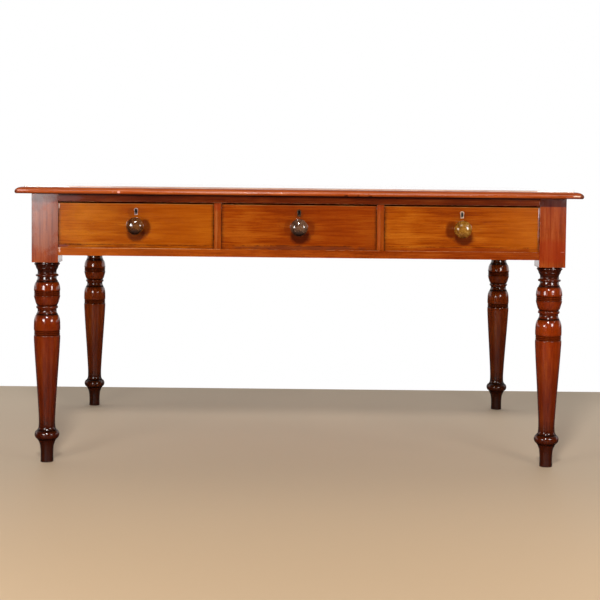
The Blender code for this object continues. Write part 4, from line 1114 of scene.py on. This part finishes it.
def build_frame():
    """The rails, aprons and dividers, and the framing inside."""
    for name, (along, tones, to_heart, wear) in FRAME.items():
        low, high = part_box(name)
        bare = behind(low.y + POLISHED_DEPTH)
        if name == "back_apron":
            bare = inside(low.y + INNER_SKIN, 1)
        elif name.endswith("_apron"):
            bare = inside(min(abs(low.x), abs(high.x)) + INNER_SKIN, 0)
        marks = [span_mark(0, *tint) for tint in RAIL_TINTS] if name == "front_bottom_rail" else []
        if wear:
            marks.append(worn_edges(low, high, wear))
        marks += spot_marks(name)
        # Painted shadow of the top's overhang on the rail, with some dirt.
        if name == "front_top_rail":
            marks.append(darker_above(high.z, *RAIL_SHADOW))
        dress(name, wood(f"{name}_wood", along, tones, middle_of(name, to_heart), marks=marks, raw=bare))
    framing = wood("framing", "Y", FRAMING_TONES, FRAMING_HEART, polished=False)
    for member in frame["record"]["behaviour"]["bodies"]["carcass"]:
        if member.endswith(("_runner", "_kicker", "_guide", "_stop")):
            dress(member, framing)
        if not member.endswith("_leg") and member != "table_top":
            soften(member, WOOD_EDGE)


def build_drawers():
    """The drawers with their knobs, escutcheons and locks."""
    lining = wood("drawer_sides_wood", "Y", LINING_TONES, SIDE_HEART, polished=False)
    crosswise = wood("drawer_backs_wood", "X", LINING_TONES, BACK_HEART, polished=False)
    woods = {"left_side": lining, "right_side": lining, "back": crosswise, "bottom": crosswise}
    holes = [middle_of(f"{drawer}_drawer_escutcheon", (0, KEYHOLE_DEPTH, 0)) for drawer in DRAWERS]
    steel = metal("dull_steel", *DULL_STEEL, holes, HOLE_IN_STEEL)
    under, over = KNOB_SHADE_FADE
    for (drawer, (tones, knob_tones, knob_shade, brass, tint)), hole in zip(DRAWERS.items(), holes):
        front, knob = f"{drawer}_drawer_front", f"{drawer}_drawer_knob"
        # Painted shade in the keyhole, on the wood of the front.
        dark = spot_mark(hole, *HOLE_IN_WOOD)
        marks = (span_mark(0, *tint), front_marks(front), *spot_marks(front), dark)
        look = {"marks": marks, "raw": behind(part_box(front)[0].y + POLISHED_DEPTH), "figure": 1.35}
        woods["front"] = wood(f"{front}_wood", "X", tones, middle_of(front, TO_FRONT_HEART), **look)
        plate = metal(f"{drawer}_brass", *brass, [hole], HOLE_IN_BRASS)
        metals = {"escutcheon": plate, "lock_case": steel, "lock_bolt": steel}
        for part, material in {**woods, **metals}.items():
            dress(f"{drawer}_drawer_{part}", material)
            soften(f"{drawer}_drawer_{part}", WOOD_EDGE if part in woods else METAL_EDGE)
        # The knob's lower half is darkened: painted shade.
        level = middle_of(knob).z
        marks = (hollow_mark, span_mark(2, level - under, level + over, DIRT_AND_SHADE, 0, knob_shade))
        look = {"marks": marks, "figure": 1.3, "gloss": 0.07, "coat_ior": KNOB_COAT_IOR}
        heart = middle_of(knob, TO_KNOB_HEART)
        build_knob(drawer, wood(f"{drawer}_knob_wood", "Y", knob_tones, heart, **look))
        build_screws(drawer, steel)


def build_camera():
    """The camera of the photograph."""
    camera = bpy.data.cameras.new("camera")
    camera.sensor_width = SENSOR_WIDTH
    camera.lens = FOCAL_PIXELS * SENSOR_WIDTH / IMAGE_SIDE
    camera.shift_x = (IMAGE_SIDE / 2 - CENTRE_PIXEL[0]) / IMAGE_SIDE
    camera.shift_y = (CENTRE_PIXEL[1] - IMAGE_SIDE / 2) / IMAGE_SIDE
    viewer = new_object("camera", camera)
    viewer.matrix_world = (
        Matrix.Translation(CAMERA_PLACE)
        @ Matrix.Rotation(-CAMERA_YAW, 4, "Z")
        @ Matrix.Rotation(math.pi / 2 - CAMERA_PITCH, 4, "X")
        @ Matrix.Rotation(CAMERA_ROLL, 4, "Z")
    )
    bpy.context.scene.camera = viewer


def stage_plane(name, near, far, material):
    """A flat piece of the stage between two long edges, each given by its Y and Z."""
    mesh = bpy.data.meshes.new(name)
    corners = [(-STAGE_REACH, *near), (STAGE_REACH, *near), (STAGE_REACH, *far), (-STAGE_REACH, *far)]
    mesh.from_pydata(corners, [], [(0, 1, 2, 3)])
    mesh.materials.append(material)
    plane = new_object(name, mesh)


def build_floor():
    """A plain pale floor, whose reflection is dimmer than the floor."""
    floor, graph, shader = new_material("pale_floor")
    glossy = graph.outputs("LightPath")["Is Glossy Ray"]
    depth = graph.parts(graph.object_place())[1]
    plain = graph.mix(graph.span(depth, *FLOOR_TURN), FLOOR_COLOUR, FLOOR_BACK_COLOUR)
    graph.link(graph.mix(glossy, plain, FLOOR_IN_GLOSS), shader.inputs["Base Color"])
    shader.inputs["Roughness"].default_value = 0.6
    stage_plane("floor", (-STAGE_REACH, 0), (STAGE_REACH, 0), floor)


def build_wall():
    """A white wall behind the desk, which shows from its front alone, to the camera and in gloss."""
    wall, graph, _ = new_material("white_wall")
    paths = graph.outputs("LightPath")
    height = graph.parts(graph.object_place())[2]
    faded = graph.span(height, *WALL_GLOSS_HIGH, 1, WALL_GLOSS_ABOVE)
    level = graph.times(graph.span(height, *WALL_GLOSS_LOW), faded)
    seen = graph.math("MAXIMUM", paths["Is Camera Ray"], graph.times(graph.shine(paths), level))
    seen = graph.times(seen, graph.minus(1, graph.outputs("NewGeometry")["Backfacing"]))
    clear = graph.node("BsdfTransparent")
    white = graph.node("Emission", {"Color": (1, 1, 1, 1), "Strength": 1})
    surface = graph.node("MixShader", {0: seen, 1: clear, 2: white})
    graph.link(surface, wall.node_tree.nodes["Material Output"].inputs["Surface"])
    stage_plane("wall", (WALL_Y, 0), (WALL_Y, STAGE_REACH), wall)


def build_lights():
    """Two softboxes, two lamps above, and a low card."""
    for name, (place, size, power, target, fade) in LIGHTS.items():
        lamp = bpy.data.lights.new(name, "AREA")
        lamp.shape = "RECTANGLE"
        lamp.size, lamp.size_y = size
        lamp.energy = power
        if fade:
            lamp.use_nodes = True
            graph = Graph(lamp.node_tree)
            rise = graph.parts(graph.outputs("NewGeometry")["Parametric"])[1]
            emission = lamp.node_tree.nodes["Emission"]
            graph.link(graph.span(rise, 0, fade), emission.inputs["Strength"])
        holder = new_object(name, lamp)
        holder.visible_camera = False
        holder.location = place
        aim = Vector(target) - holder.location
        holder.rotation_euler = aim.to_track_quat("-Z", "Y").to_euler()


def build_room():
    """A background, white to the camera, that lights the desk dimly in front and brightly behind."""
    world = bpy.data.worlds.new("studio")
    world.use_nodes = True
    graph = Graph(world.node_tree)
    depth = graph.parts(graph.outputs("TexCoord")["Generated"])[1]
    paths = graph.outputs("LightPath")
    light, gloss = graph.span(depth, *ROOM_LIGHT), graph.span(depth, *ROOM_GLOSS)
    strength = graph.between(paths["Is Camera Ray"], graph.between(graph.shine(paths), light, gloss), 1.0)
    background = world.node_tree.nodes["Background"]
    background.inputs["Color"].default_value = (1, 1, 1, 1)
    graph.link(strength, background.inputs["Strength"])
    bpy.context.scene.world = world


bpy.context.scene.view_settings.view_transform = "Standard"
dress_top()
build_legs()
build_frame()
build_drawers()
build_floor()
build_wall()
build_lights()
build_room()
build_camera()
